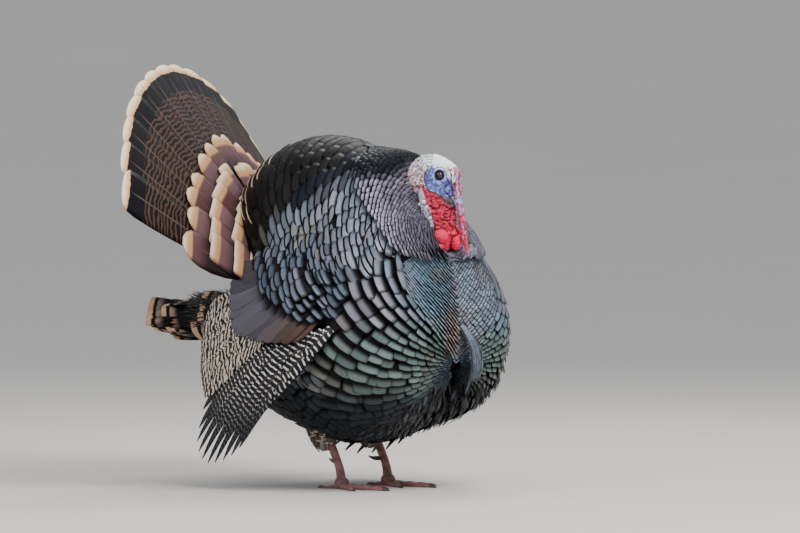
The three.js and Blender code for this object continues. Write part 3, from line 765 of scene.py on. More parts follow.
# rows whose gap grows evenly from the first to the last, with the vanes that the band keeps
def ruffLay(band):
    (low, high), (gap, lastGap) = band["rows"], band["gaps"]
    rows = [low]
    while rows[-1] < high:
        rows.append(rows[-1] + gap + (lastGap - gap) * (rows[-1] - low) / (high - low))
    p, q = siteRows(rows, -math.pi, math.pi, lambda row: band["width"] * 0.74 / (0.25 * math.sin(row)))
    tip = ruffChart(p, q)[0]
    keep = band["keeps"](tip, p, q)
    p, q, tip = (row[keep] for row in (p, q, tip))
    lay = layVanes(band["chart"], p, q, band["length"], band["width"], depth=0.012, cut=0.14, ragged=0.12,
                   **band["style"])
    sheen, marks = ruffLook(tip, p, q)
    lay.update(sheen=sheen, rim=cream, marks=marks)
    return lay


def looseLay():  # loose pointed feathers low on the front
    p, q = dice.uniform(*loose["turns"], loose["count"]), dice.uniform(*loose["away"], loose["count"])
    lay = layVanes(ruffChart, p, q, **loose["style"])
    sheen = mixed(soot * 1.5, slate * 0.5, dice.uniform(0, 1, len(p)) ** 2)
    lay.update(sheen=sheen, rim=cream, marks=vec(0.35, 0.93, 2))
    return lay


for name, band in ruffBands.items():
    lays = [ruffLay(band)]
    if name == "bellyFeathers":
        lays.append(looseLay())
    makeCoat(name, lays, "body_feathers_dark", coatFinish, band["nodes"])


# Flight feathers: p is the share along the row, q the distance from the roots.
def rowRoot(row, p):  # y and z in millimetres, like the tips
    return mixed(vec(*row["roots"][0]), vec(*row["roots"][1]), p)


# (root + (tip - root) q / length of the feather) on the wing's sheet, depth under it
def rowChart(row, side, depth):
    def chart(p, q):
        root, tip = rowRoot(row, p), along(row["tips"], p)
        reach = (q / mm / np.linalg.norm(tip - root, axis=-1))[..., None]
        spot = (root + (tip - root) * reach) * mm
        return wingSheet(spot[..., 0], spot[..., 1], side, depth)
    return chart


# barred flight feather: light bars on dark, slanted to the shaft, paling or fading towards the tip
def barredRecipe(look):
    def recipe(w):
        across, reach, side = vaneSpots(w)
        metres = (1 - reach) * w.named("span")
        place = w.joined(across * look["broken"], metres * 62, w.named("tone") * look["mixed"])
        wobble = w.noise(place, 1.0) - 0.5
        slanted = metres + side * look["slant"] + wobble * look["waver"]
        bars = w.sum("SINE", slanted * (2 * math.pi / look["period"]))
        light = bars.step(look["cut"] - 0.25, look["cut"] + 0.25)
        left = (1 - reach).step(look["fadeFrom"], look["fadeTo"])
        light = light * (left * (1 - look["atTip"]) + look["atTip"])
        light = light * (side.step(0.08, 0.26) * (1 - look["spine"]) + look["spine"])
        light = light * (1 - side.step(look["reach"], look["reach"] + 0.14))
        streak = barbs(w, across, side, metres, 8, 60)
        shaft = 1 - side.step(0.03, 0.07)
        colour = light.mix(streak.shades(0.6, look["dark"]), streak.shades(0.5, look["pale"]))
        colour = shaft.mix(colour, (0.060, 0.045, 0.035))
        return surface(colour, 0.55 + (streak - 0.5) * 0.2, w.bump(streak, 0.3, 0.0006))
    return recipe


# The bars' period, where their sine turns light, their slant and waver, how broken and mixed they are; the
# shares from the tip between which they come in, how much is left at the tip and on the shaft, how far out
# they reach.
primaryLook = {"period": 0.0110, "cut": 0.60, "slant": 0.005, "waver": 0.008, "broken": 3.4, "mixed": 30,
               "fadeFrom": 0.16, "fadeTo": 0.68, "atTip": 0.08, "spine": 0.2, "reach": 0.80,
               "dark": (0.013, 0.014, 0.019), "pale": (0.66, 0.62, 0.56)}
secondaryLook = {"period": 0.0125, "cut": 0.08, "slant": 0.010, "waver": 0.026, "broken": 1.3, "mixed": 2.5,
                 "fadeFrom": 0, "fadeTo": 0.1, "atTip": 0.95, "spine": 0.9, "reach": 1.3,
                 "dark": (0.016, 0.013, 0.013), "pale": (0.62, 0.53, 0.45)}
# depth is that of the middle feather; from the first to the last they lie deeper by step
flightRows = {
    "Primaries": {"roots": [(-97, 286), (44, 252)],
                  "tips": [(91, 79), (150, 52), (212, 46), (243, 78), (216, 150)],
                  "count": 10, "width": 0.036, "outline": "primary", "sweep": 0.10,
                  "depth": 0.0125, "step": -0.0030, "roll": -0.06,
                  "finish": finish("primaryFeather", barredRecipe(primaryLook), **plume)},
    "Secondaries": {"roots": [(92, 352), (34, 262)],
                    "tips": [(200, 312), (226, 270), (232, 205), (214, 156)],
                    "count": 15, "width": 0.030, "outline": "long", "sweep": 0.0,
                    "depth": 0.0078, "step": 0.0016, "roll": 0.06,
                    "finish": finish("secondaryFeather", barredRecipe(secondaryLook), **plume)},
}


# one row, each feather lying a little deeper or higher than the one before
def flightLays(row, side):
    count = row["count"]
    share = (np.arange(count) + 0.5) / count
    length = np.linalg.norm(along(row["tips"], share) - rowRoot(row, share), axis=-1) * mm
    lays = []
    for k in range(count):
        chart = rowChart(row, side, row["depth"] + row["step"] * (k / count - 0.5))
        lay = layVanes(chart, share[k : k + 1], length[k : k + 1], length[k] * 0.999, row["width"],
                       outline=row["outline"], columns=7, depth=0.0, lift=0.0, crown=0.10,
                       roll=row["roll"] * side, cut=0.3, ragged=0.0, swing=0.004, sweep=row["sweep"] * side)
        # right feathers on the left half of the unwrap, left ones on its right half
        place = vec(0.01 + (k + (side > 0) * count) * 0.49 / count, 0.01)[None]
        lay.update(sheen=slate, rim=cream, marks=vec(0.7, 2, 2), bake=place, patch=(0.45 / count, 0.97))
        lays.append(lay)
    return lays


def covertSpot(p, q):  # y and z
    return coverts["pole"][0] + q * np.cos(p), coverts["pole"][1] - q * np.sin(p)


# coverts: p is the angle below level and q the distance, both from a point ahead of the shoulder;
# ahead of the shoulder and under the shoulder feathers the coverts sink to just off the trunk
def covertChart(side, depth):
    def chart(p, q):
        y, z = covertSpot(p, q)
        points, normals = wingSheet(y, z, side, depth)
        under, slope = trunkAt(points - trunk["core"])
        sink = np.maximum(ease(-y, 0.020, 0.080), ease(z - shoulderLine(y), -0.045, 0.010))
        return mixed(points, under + slope * 0.002, sink), unit(mixed(normals, slope, sink))
    return chart


def wingMap(at, low=vec(-0.12, 0.20), high=vec(0.16, 0.46)):  # unwrap of the wing's sheet: back and up, 0..1
    return np.clip((at[..., 1:] - low) / (high - low), 0, 1) * 0.96 + 0.01


# small coverts in rows, then one row of long smooth ones whose roots they hide
def covertLays(side):
    p, q = siteRows(np.arange(*coverts["rows"]), *coverts["turns"], lambda row: coverts["apart"] / row)
    keep = (covertRing(*covertSpot(p, q)) < 1.02) & (q < 0.376 - (p / turn - 19) * 0.0032)
    small = layVanes(covertChart(side, coverts["smallDepth"]), p[keep], q[keep], roll=0.07 * side,
                     **coverts["small"])
    patch = grain(small["tip"], 40, 8)
    sheen = mixed(slate * vec(0.70, 0.76, 0.82), lavender * 0.8, ease(patch, -0.2, 0.5) * 0.6)
    small.update(sheen=sheen, rim=soot, marks=vec(0.72, 0.94, 2))
    angle = np.linspace(*coverts["greatTurns"]) * turn
    reach, length = (np.interp(angle / turn, *coverts[key]) for key in ("greatReach", "greatLength"))
    great = layVanes(covertChart(side, coverts["greatDepth"]), angle, reach, length, roll=0.05 * side,
                     **coverts["great"])
    sheen = mixed(vec(0.105, 0.098, 0.120), vec(0.120, 0.075, 0.060), ease(angle / turn, 30, 40))
    great.update(sheen=sheen, rim=cream * 0.5, marks=vec(0.25, 2, 2))
    return [great, small]


for sideName, side in sides.items():
    for name, row in flightRows.items():
        makeCoat(sideName + name, flightLays(row, side), "wing_feathers", row["finish"],
                 (f"wing_{name.lower()}_{sideName}",))
    makeCoat(f"{sideName}Coverts", covertLays(side), "wing_feathers", coatFinish,
             (f"wing_coverts_{sideName}",), wingMap)
print("wings done")


# Tail: eighteen feathers on a wide cone, tiers of coverts on their roots, as in the solids.
fan = {"apex": vec(0, 0.092, 0.272), "yaw": 21.9, "pitch": 13.4, "roll": -15.4, "open": 70, "spread": 71.3,
       "radius": 0.545, "rounding": 0.05, "root": 0.150, "count": 18, "width": 0.089, "lift": 0.0012,
       "style": {"outline": "fan", "columns": 9, "depth": 0.0, "lift": 0.0, "crown": 0.035, "roll": 0.045,
                 "cut": 0.10, "ragged": 0.0, "swing": 0.0}}
tiers = [  # count, half the spread, reach in the middle, reach at the sides, width, length, lift of the tier
    (17, 72, 0.392, 0.366, 0.066, 0.150, 0.0060),
    (16, 71, 0.334, 0.304, 0.060, 0.135, 0.0098),
    (17, 72, 0.276, 0.252, 0.050, 0.110, 0.0130),
    (17, 74, 0.232, 0.212, 0.042, 0.090, 0.0155),
]
tierStyle = {"columns": 7, "depth": 0.004, "lift": 0.001, "crown": 0.10, "roll": 0.05, "cut": 0.05,
             "ragged": 0.08, "swing": 0.03}


def spun(v, axis, angle):  # v turned about an axis: v cos + (axis x v) sin + axis (axis . v) (1 - cos)
    axis, c, s = unit(axis), math.cos(angle), math.sin(angle)
    return v * c + np.cross(axis, v) * s + axis * np.dot(axis, v) * (1 - c)


def fanFrame():  # back, up and out of the fan: pitched, turned to the side, then rolled about its facing
    tilt = lambda v: spun(spun(v, vec(1, 0, 0), -fan["pitch"] * turn), vec(0, 0, 1), fan["yaw"] * turn)
    facing = tilt(vec(0, -1, 0))
    up, out = (spun(tilt(v), facing, fan["roll"] * turn) for v in (vec(0, 0, 1), vec(1, 0, 0)))
    return -facing, up, out


fanBack, fanUp, fanOut = fanFrame()


# p is the angle from the middle of the fan, q the distance from its apex, lift the height towards the head:
# apex + (spoke sin open + back cos open) q + (spoke cos open - back sin open) lift
def fanChart(lift):
    s, c = math.sin(fan["open"] * turn), math.cos(fan["open"] * turn)

    def chart(p, q):
        spoke = fanUp * np.cos(p)[..., None] + fanOut * np.sin(p)[..., None]
        normal = spoke * c - fanBack * s
        return fan["apex"] + (spoke * s + fanBack * c) * q[..., None] + normal * lift, normal
    return chart


def fanTip(angle):  # radius (1 - rounding (angle / half the fan's spread)^4)
    return fan["radius"] * (1 - fan["rounding"] * (angle / (fan["spread"] * turn)) ** 4)


tailLook = {"cream": (1.0, 0.80, 0.57), "tan": (0.70, 0.40, 0.19), "band": (0.004, 0.004, 0.006),
            "dark": (0.006, 0.005, 0.006), "chestnut": (0.075, 0.038, 0.026), "shaft": (0.085, 0.066, 0.058),
            "period": 0.0092}
tierLook = {"cream": (0.74, 0.56, 0.38), "rust": (0.50, 0.26, 0.12), "root": (0.020, 0.013, 0.014),
            "shaft": (0.09, 0.05, 0.04), "maroon": vec(0.075, 0.030, 0.028), "gloss": vec(0.15, 0.078, 0.088)}


# tail feather by the distance from its tip: cream, tan, a black band, then wavy chestnut bars
def tailRecipe(w):
    across, reach, side = vaneSpots(w)
    metres = (1 - reach) * w.named("span")
    tone = w.named("tone") * 30
    wobble = w.noise(w.joined(across * 9, metres * 30, tone), 1.0) - 0.5
    wave = w.noise(w.joined(across * 3.2, metres * 38, tone), 1.0) - 0.5
    fine = barbs(w, across, side, metres, 5, 130)
    edge = metres + wobble * 0.006 + side * side * 0.004
    tip = fine.shades(0.5, edge.step(0.003, 0.017).mix(tailLook["cream"], tailLook["tan"]))
    bars = w.sum("SINE", (metres + wave * 0.020 - side * 0.006) * (2 * math.pi / tailLook["period"]))
    barred = bars.step(-0.1, 0.55).mix(tailLook["dark"], tailLook["chestnut"])
    colour = edge.step(0.0165, 0.0185).mix(tip, tailLook["band"])
    colour = (metres + wobble * 0.010).step(0.052, 0.057).mix(colour, barred)
    shaft = (1 - side.step(0.022, 0.045)) * metres.step(0.012, 0.05)
    colour = shaft.mix(colour, tailLook["shaft"])
    return surface(colour, 0.5 + (fine - 0.5) * 0.25, w.bump(fine + bars * 0.05, 0.35, 0.0008))


# tail covert: fringed cream tip, a rusty line, then maroon brown with a violet gloss
def tierRecipe(w):
    across, reach, side = vaneSpots(w)
    metres = (1 - reach) * w.named("span")
    fine = barbs(w, across, side, metres, 5, 170)
    edge = metres + (fine - 0.5) * 0.010
    tip = fine.shades(0.6, edge.step(0.002, 0.016).mix(tierLook["cream"], tierLook["rust"]))
    body = fine.shades(0.5, w.named("sheen", "Color"))
    body = metres.step(0.030, 0.070).mix(body, tierLook["root"])
    shaft = (1 - side.step(0.02, 0.045)) * metres.step(0.02, 0.05)
    colour = shaft.mix(edge.step(0.020, 0.026).mix(tip, body), tierLook["shaft"])
    return surface(colour, 0.5 + (fine - 0.5) * 0.3, w.bump(fine, 0.4, 0.0008))


def tailLays():  # each feather takes its own strip of the unwrap
    lays, count = [], fan["count"]
    for k in range(count):
        angle = fan["spread"] * turn * (2 * (k + 0.5) / count - 1)
        tip = fanTip(angle) * 0.999
        lay = layVanes(fanChart(fan["lift"]), vec(angle), vec(tip), tip - fan["root"], fan["width"],
                       **fan["style"])
        lay.update(sheen=cream, rim=cream, marks=vec(0, 1, 1))
        lay.update(bake=vec(0.01 + k / count * 0.98, 0.01)[None], patch=(0.9 / count, 0.97))
        lays.append(lay)
    return lays


def tierLays():  # reach goes from that of the sides to that of the middle with the cosine of the angle
    lays = []
    for k, (count, spreadAngle, middle, edge, width, length, lift) in enumerate(tiers):
        angle = np.linspace(-spreadAngle, spreadAngle, count) * turn + dice.normal(0, 0.018, count)
        reach = edge + (middle - edge) * np.cos(angle) + dice.normal(0, 0.005, count)
        outline = "square" if k else "round"
        lay = layVanes(fanChart(lift), angle, reach, length, width, outline=outline, **tierStyle)
        maroon = mixed(tierLook["maroon"], tierLook["gloss"], dice.uniform(0, 1, count))
        place = np.stack([0.02 + (angle / turn + 76) / 160, np.full(count, 0.02 + k * 0.24)], -1)
        lay.update(sheen=maroon, rim=cream, marks=vec(0, 1, 1), bake=place, patch=(0.05, 0.22))
        lays.append(lay)
    return lays


tailFinish = finish("tailFeather", tailRecipe, **plume)
tierFinish = finish("tailCovert", tierRecipe, **plume)
makeCoat("tailFan", tailLays(), "tail_feathers", tailFinish, ("tail_fan",))
makeCoat("tailCoverts", tierLays(), "tail_feathers", tierFinish, ("tail_coverts",))

# The bunch under the fan: p is the angle round it, q the distance along it.
bunch = {"start": vec(0, 0.205, 0.278), "back": 0.327, "up": 0.096,
         "half": [(62, 44), (66, 42), (62, 40), (50, 34), (30, 24), (9, 8)],
         "rows": vec(0.46, 0.68, 0.87, 0.99),      # shares of its length where the broad ones' tips stand
         "gap": 0.62, "gapGrows": 1.4,             # turn from one to the next, and how it grows along it
         "fluffRows": (0.04, 0.150, 0.006), "fluffTurns": (0.10 * math.pi, 1.10 * math.pi), "fluffGap": 0.085,
         "broad": {"length": 0.090, "width": 0.050, "columns": 7, "depth": 0.006, "lift": 0.003,
                   "crown": 0.14, "roll": 0.08, "swing": 0.05, "ragged": 0.12},
         "fluff": {"length": 0.046, "width": 0.0040, "outline": "blade", "columns": 3, "depth": 0.002,
                   "lift": 0.014, "crown": 0.2, "roll": 0.1, "swing": 0.22, "ragged": 0.3}}
bunchAlong = fan["apex"] + fanBack * bunch["back"] + fanUp * bunch["up"] - bunch["start"]
bunchLong = np.linalg.norm(bunchAlong)
bunchAlong = bunchAlong / bunchLong


def ovalAt(halves, share):  # the two half sizes of an oval section at shares of a path
    return (blendRow(column, share) for column in zip(*halves))


# start + along q + out cos p half width + up sin p half height
def bunchChart(p, q):
    wide, deep = (half * mm for half in ovalAt(bunch["half"], q / bunchLong))
    c, s = np.cos(p), np.sin(p)
    point = bunch["start"] + bunchAlong * q[..., None]
    point = point + (fanOut * (c * wide)[..., None] + fanUp * (s * deep)[..., None])
    return point, unit(fanOut * (c / wide)[..., None] + fanUp * (s / deep)[..., None])


def bunchMap(at):  # unwrap: the angle round the bunch and the share along it
    off = at - bunch["start"]
    angle = np.arctan2(off @ fanUp, off @ fanOut) / (2 * math.pi) + 0.5
    return np.stack([0.01 + 0.96 * angle, 0.02 + 0.9 * np.clip(off @ bunchAlong / bunchLong, 0, 1)], -1)


def bunchLays():  # broad banded feathers, and fluff round their roots
    p, q = siteRows(bunchLong * bunch["rows"], -math.pi, math.pi,
                    lambda row: bunch["gap"] + bunch["gapGrows"] * row)
    q = np.clip(q, 0.085, 0.99 * bunchLong)
    broad = layVanes(bunchChart, p, q, **bunch["broad"])
    brown = mixed(vec(0.11, 0.085, 0.085), vec(0.32, 0.21, 0.165), dice.uniform(0, 1, len(q)))
    tan = mixed(vec(0.62, 0.42, 0.26), vec(0.46, 0.26, 0.14), dice.uniform(0, 1, len(q)))
    broad.update(sheen=brown, rim=tan, marks=vec(0.60, 0.79, 0.87))
    p, q = siteRows(np.arange(*bunch["fluffRows"]), *bunch["fluffTurns"], lambda row: bunch["fluffGap"])
    fluff = layVanes(bunchChart, p, q, **bunch["fluff"])
    fluff.update(sheen=vec(0.055, 0.056, 0.060), rim=cream, marks=vec(0.1, 2, 3))
    return [broad, fluff]


makeCoat("undertailFeathers", bunchLays(), "barred_feathers", coatFinish, ("undertail_coverts",), bunchMap)

# Legs: thigh, shank and toes, as in the solids (right is the mirror of left), in millimetres.
leg = {"thigh": [(62, 46, 66), (62, 54, 92), (64, 48, 126), (66, 30, 170)], "thighHalf": [12, 25, 38, 44],
       "shank": [(62, 14, 14), (62, 20, 40), (62, 40, 80), (62, 62, 118)], "shankHalf": [8.8, 7.3, 7.6, 9],
       "ankle": vec(62, 14, 0), "ball": vec(11.5, 13.5, 10.8),
       "toes": [(92, 0, 7.0), (68, -32, 7.0), (70, 34, 7.0), (40, 176, 5.2)],  # length, heading, half width
       "coatLong": 0.110, "coatRows": (0.018, 0.112, 0.0085),      # in metres, down the thigh
       "coat": {"length": 0.030, "width": 0.017, "outline": "round", "columns": 5, "depth": 0.006,
                "lift": 0.002, "crown": 0.2}}


def tubeFrames(path, share):  # points of a path, with a sideways and an across direction at each
    ahead = unit(along(path, share + 1e-3) - along(path, share - 1e-3))
    side = unit(vec(1, 0, 0) - ahead * ahead[..., :1])
    return along(path, share), side, np.cross(ahead, side)


# p turns round the thigh, q runs down it: middle + (sideways cos p + across sin p) half size
def thighChart(flip):
    def chart(p, q):
        share = 1 - q / leg["coatLong"]
        middle, side, across = tubeFrames(leg["thigh"], share)
        half = blendRow(leg["thighHalf"], np.clip(share, 0, 1))[..., None]
        normal = side * np.cos(p)[..., None] + across * np.sin(p)[..., None]
        return (middle + normal * half) * mm * flip, normal * flip
    return chart


def thighLay(flip):  # vanes 11 mm apart round the thigh, whose radius is 45 mm at the top
    p, q = siteRows(np.arange(*leg["coatRows"]), -math.pi, math.pi, lambda row: 0.011 / (0.045 - 0.26 * row))
    lay = layVanes(thighChart(flip), p, q, **leg["coat"])
    brown = mixed(vec(0.035, 0.030, 0.028), vec(0.12, 0.095, 0.075), ease(q, 0.04, 0.11))
    rim = 0.9 + 1.0 * (dice.uniform(0, 1, len(q)) > q * 8)      # pale rims come more often further down
    lay.update(sheen=brown, rim=vec(0.50, 0.46, 0.42), marks=bands(0.4, 2, rim))
    return lay


for sideName, side in sides.items():
    makeCoat(f"{sideName}ThighFeathers", [thighLay(vec(side, 1, 1))], "body_feathers_dark", coatFinish)
print("tail and thighs done")


# Skin: head, neck, wattles and snood in fine mesh, with the trunk and legs under their coat.
# Places are in millimetres, those of the neck and wattles in the bird's frame, the others in the head's.
head = {
    "at": vec(0, -0.144, 0.540), "turn": 15 * turn, "blend": 0.004, "far": 0.080, "voxel": 0.99,
    "eye": vec(13.2, -14.3, 1), "eyeRadius": 7.6, "lidRim": 6.2, "gaze": vec(1, -0.30, 0.05),
    "lumps": [((0, 8, 6), (20, 37, 31)), ((0, 28, -8), (19, 25, 26)), ((0, -21, -2), (15.5, 25, 23)),
              ((0, -7, -29), (14, 23, 22))],
    "chin": [((0, -21.5, -23), (9.0, 12, 9.5)), ((0, -28, -29), (6.0, 9.0, 8.5))],
    "knobs": [(0, -29, 21), (4.5, -30, 17), (-4.5, -30, 17), (0, -35, 15), (5.5, -25, 20), (-5.5, -25, 20),
              (-6, -33, 11), (6, -33, 11)],
    "knobHalf": vec(3.6, 3.6, 3.0),
    "neck": [(0, -100, 366), (0, -128, 398), (0, -154, 430), (0, -156, 462), (0, -144, 490), (0, -134, 520)],
    "neckHalf": [30, 26, 22, 26, 27, 24],
    "snood": [(0, -32, 12), (0, -38, 3), (0, -41, -16), (0, -42.6, -36), (0, -46.4, -58), (0, -51.5, -90),
              (1, -56.5, -118), (1, -60, -134)],
    "snoodHalf": [6.0, 7.0, 7.9, 8.2, 7.3, 6.1, 4.5, 2.2],
    "wattles": [((-20, -172, 437), (13.2, 14.5, 12.8)), ((-22, -165, 420), (10.5, 13.5, 9.4)),
                ((12, -179, 427), (10.5, 11.5, 14.4)), ((19, -170, 440), (10, 13, 11))],
    "caruncles": {"count": 130, "from": 0.46, "to": 0.88, "small": 2.6, "large": 5.6},
    # the line of the gape and bill's edge: back from the bill's tip, and its height there
    "gape": ([-37, -32, -20, -9, 2, 9, 16], [-55, -49, -38, -30, -27, -22, -14]),
    # the groove from the brow down to the bill, by height
    "lore": ([-46, -23, -9, 4, 12], [-35.5, -33, -30.5, -27, -22]),
    # how far back the red throat reaches, by height
    "redBack": ([-110, -90, -63, -35, -25], [-14, -11, -5, 9, 15]),
    # how far over and under the gape's line the bill's horn colour reaches, by the way back
    "hornOver": ([-36, -27, -19, -10, 0], [9.5, 8.0, 4.6, 2.4, 0.6]),
    "hornUnder": ([-36, -24, -10, 0], [2.8, 2.5, 1.3, 0.4]),
}
hue = {
    "white": vec(0.88, 0.97, 1.0), "pinkish": vec(0.76, 0.56, 0.62), "blush": vec(0.50, 0.16, 0.20),
    # the deep blue is the colour of the painted shade in the face's grooves and round the eye
    "blue": vec(0.078, 0.100, 0.34), "paleBlue": vec(0.33, 0.42, 0.80), "shadeBlue": vec(0.014, 0.020, 0.06),
    "red": vec(0.29, 0.004, 0.022), "rose": vec(0.56, 0.014, 0.060), "flesh": vec(0.46, 0.06, 0.14),
    "violet": vec(0.17, 0.20, 0.42), "paleViolet": vec(0.42, 0.46, 0.72), "grey": vec(0.62, 0.66, 0.76),
    "horn": vec(0.17, 0.115, 0.125), "darkHorn": vec(0.060, 0.042, 0.050), "gape": vec(0.030, 0.020, 0.026),
    "underCoat": vec(0.022, 0.020, 0.021), "thigh": vec(0.03, 0.026, 0.026),
    "legPink": vec(0.30, 0.13, 0.12), "legRed": vec(0.16, 0.085, 0.08),
}
headLumps = [(vec(*at) * mm, vec(*half) * mm) for at, half in head["lumps"]]
headSide = vec(math.cos(head["turn"]), math.sin(head["turn"]), 0)
headBack = vec(-math.sin(head["turn"]), math.cos(head["turn"]), 0)


def fromHead(local):  # head frame in millimetres to the bird's
    local = np.asarray(local, float) * mm
    return head["at"] + local[..., :1] * headSide + local[..., 1:2] * headBack + local[..., 2:] * vec(0, 0, 1)


def toHead(at):  # the bird's frame to the head's, in millimetres
    off = (at - head["at"]) / mm
    return np.stack([off @ headSide, off @ headBack, off[..., 2]], -1)


def globeRings(around, tall):  # a globe of radius 1 without its poles
    return sphereRays(around, tall)[1:-1]


# circles along a smooth path: middle + (sideways cos angle + across sin angle) (half size + ripple)
def tube(path, halves, around, steps, ripple=None):
    share, angle = np.linspace(0, 1, steps), circle(around)
    middle, side, across = tubeFrames(path, share)
    half = blendRow(halves, share)[:, None] * np.ones(around)
    if ripple is not None:
        half = half + ripple(share[:, None], angle[None])
    ring = side[:, None] * np.cos(angle)[:, None] + across[:, None] * np.sin(angle)[:, None]
    return middle[:, None] + ring * half[..., None]


def balls(centres, halves, around=8, tall=7):  # centre + half sizes * globe, for each of them
    rays = globeRings(around, tall)
    return [loft(centre + rays * half) for centre, half in zip(centres, halves)]


# caruncles: knobs sown over the neck's tube by share along it and angle round it (0 is the front)
def throatKnobs():
    some = head["caruncles"]
    count = some["count"]
    share = dice.uniform(some["from"], some["to"], count)
    angle = np.where(np.arange(count) % 2, dice.uniform(-2.9, 2.9, count),
                     np.clip(dice.normal(0, 0.9, count), -2.7, 2.7))
    middle, side, across = tubeFrames(head["neck"], share)
    front = np.where((across[:, 1] < 0)[:, None], across, -across)
    half = blendRow(head["neckHalf"], share)[:, None]
    centre = middle + (front * np.cos(angle)[:, None] + side * np.sin(angle)[:, None]) * (half - 1.2)
    size = dice.uniform(some["small"], some["large"], (count, 1))
    size = size * (1.2 - 0.40 * np.abs(angle)[:, None] / 2.7)
    return balls(centre * mm, size * vec(1.15, 1.15, 0.8) * dice.uniform(0.8, 1.2, (count, 1)) * mm)


def headShell():  # joined lumps, their surface found along rays from the middle of the head
    rays = globeRings(96, 65)
    flat = rays.reshape(-1, 3)
    reach = rayReach(flat, vec(0, 0, 0), headLumps, head["blend"], head["far"])
    local = (flat * reach[:, None] / mm).reshape(rays.shape)
    # narrower towards the bill, which it holds between the cheeks
    y, z = local[..., 1], local[..., 2]
    pinch = ease(-y, 16, 32) * ease(-z, 8, 20) * easeDown(-z, 54, 62)
    local[..., 0] *= 1 - 0.50 * pinch
    local[..., 1] += 4.0 * pinch
    return loft(fromHead(local))


def snoodRipple(share, angle):  # soft rings and dents along the snood
    return 0.45 * np.sin(share * 66 + 1.4 * np.sin(angle + share * 9)) * ease(share, 0.05, 0.2)


def remeshed(parts):  # closed parts as one smooth skin of small quads
    draft = makeMesh("draft", *gather(parts))
    remesh = draft.modifiers.new("remesh", "REMESH")
    remesh.mode, remesh.voxel_size = "VOXEL", head["voxel"] * mm
    soft = draft.modifiers.new("soft", "SMOOTH")
    soft.factor, soft.iterations = 0.5, 3
    shaped = draft.evaluated_get(bpy.context.evaluated_depsgraph_get()).to_mesh()
    points = np.zeros(len(shaped.vertices) * 3, np.float32)
    shaped.vertices.foreach_get("co", points)
    corners = np.zeros(len(shaped.loops), np.int32)
    shaped.loops.foreach_get("vertex_index", corners)
    bpy.data.objects.remove(draft)
    return points.reshape(-1, 3).astype(float), corners.reshape(-1, 4)


def fineSkin():  # head, neck, knobs, wattles, snood, chin and brow as one skin
    parts = [headShell(), loft(tube(head["neck"], head["neckHalf"], 48, 40) * mm)] + throatKnobs()
    # each wattle is a large smooth lobe over or beside a smaller one, with a fold between them
    spots, sizes = (np.array(column) * mm for column in zip(*head["wattles"]))
    parts += balls(spots, sizes, 28, 21)
    parts.append(loft(fromHead(tube(head["snood"], head["snoodHalf"], 24, 90, snoodRipple))))
    spots, sizes = zip(*head["chin"])
    parts += balls(fromHead(spots), np.array(sizes) * mm, 24, 17)
    parts += balls(fromHead(head["knobs"]), [head["knobHalf"] * mm] * len(head["knobs"]), 12, 9)
    return remeshed(parts)


# sums of a face's values at the corners of the mesh: rows of total, one for each vertex
def cornerSums(values, quads, count):
    total = [sum(np.bincount(quads[:, k], column, count) for k in range(4)) for column in values.T]
    return np.stack(total, -1)


# vertex normals of a mesh of quads: each face's diagonals crossed, summed at its corners
def quadNormals(points, quads):
    a, b, c, d = (points[quads[:, k]] for k in range(4))
    return unit(cornerSums(np.cross(c - a, d - b), quads, len(points)))


# each vertex's mean over the corners of the faces it is in, taken a few times
def smoothed(values, quads, times):
    count = cornerSums(np.ones((len(quads), 1)), quads, len(values)) * 4.0
    for _ in range(times):
        values = cornerSums(values[quads].sum(1), quads, len(values)) / count
    return values


# Places that the head's shapes and colours go by: eyeAway is the distance from the line of the gaze,
# faceAway is 1 on the rim of the face (two joined ovals), aboveGape is the height over the gape's line.
def facePlaces(points):
    x, y, z = toHead(points).T
    off = np.stack([np.abs(x), y, z], -1) - head["eye"]
    gaze = unit(head["gaze"])
    eyeAway = np.linalg.norm(off - (off @ gaze)[:, None] * gaze, axis=1)
    faceAway = np.minimum(np.hypot((y + 12) / 24, (z + 5) / 27), np.hypot((y + 20) / 17, (z + 26) / 19))
    return SimpleNamespace(points=points, x=x, y=y, z=z, eyeAway=eyeAway, faceAway=faceAway,
                           aboveGape=z - np.interp(y, *head["gape"]), onSide=ease(np.abs(x), 5, 9))


# wrinkles and nape folds, and deep folds of the throat that run out on the smooth lobes and under the chin
def foldPush(at):
    points, y, z = at.points, at.y, at.z
    nape = ease(y, -2, 14) * ease(z, -40, -10)
    wrinkles = grain(points * vec(1, 1, 2.2), 260, 1) * 0.75 + grain(points, 520, 2) * 0.35
    push = nape * (np.abs(grain(points * vec(1, 1, 1.6), 230, 3)) - 0.4) * 1.4 + wrinkles * 0.25
    folds = 0.45 - np.abs(grain(points * vec(1, 1, 1.5), 125, 5)) * 1.6 - np.abs(grain(points, 260, 6)) * 0.45
    lobe = ease(0.451 - points[:, 2], 0, 0.004) * ease(-points[:, 1], 0.158, 0.166)
    chin = ease(z, -62, -50)
    return push + ease(-z, 30, 42) * folds * 1.15 * (1 - 0.85 * lobe) * (1 - 0.55 * chin)


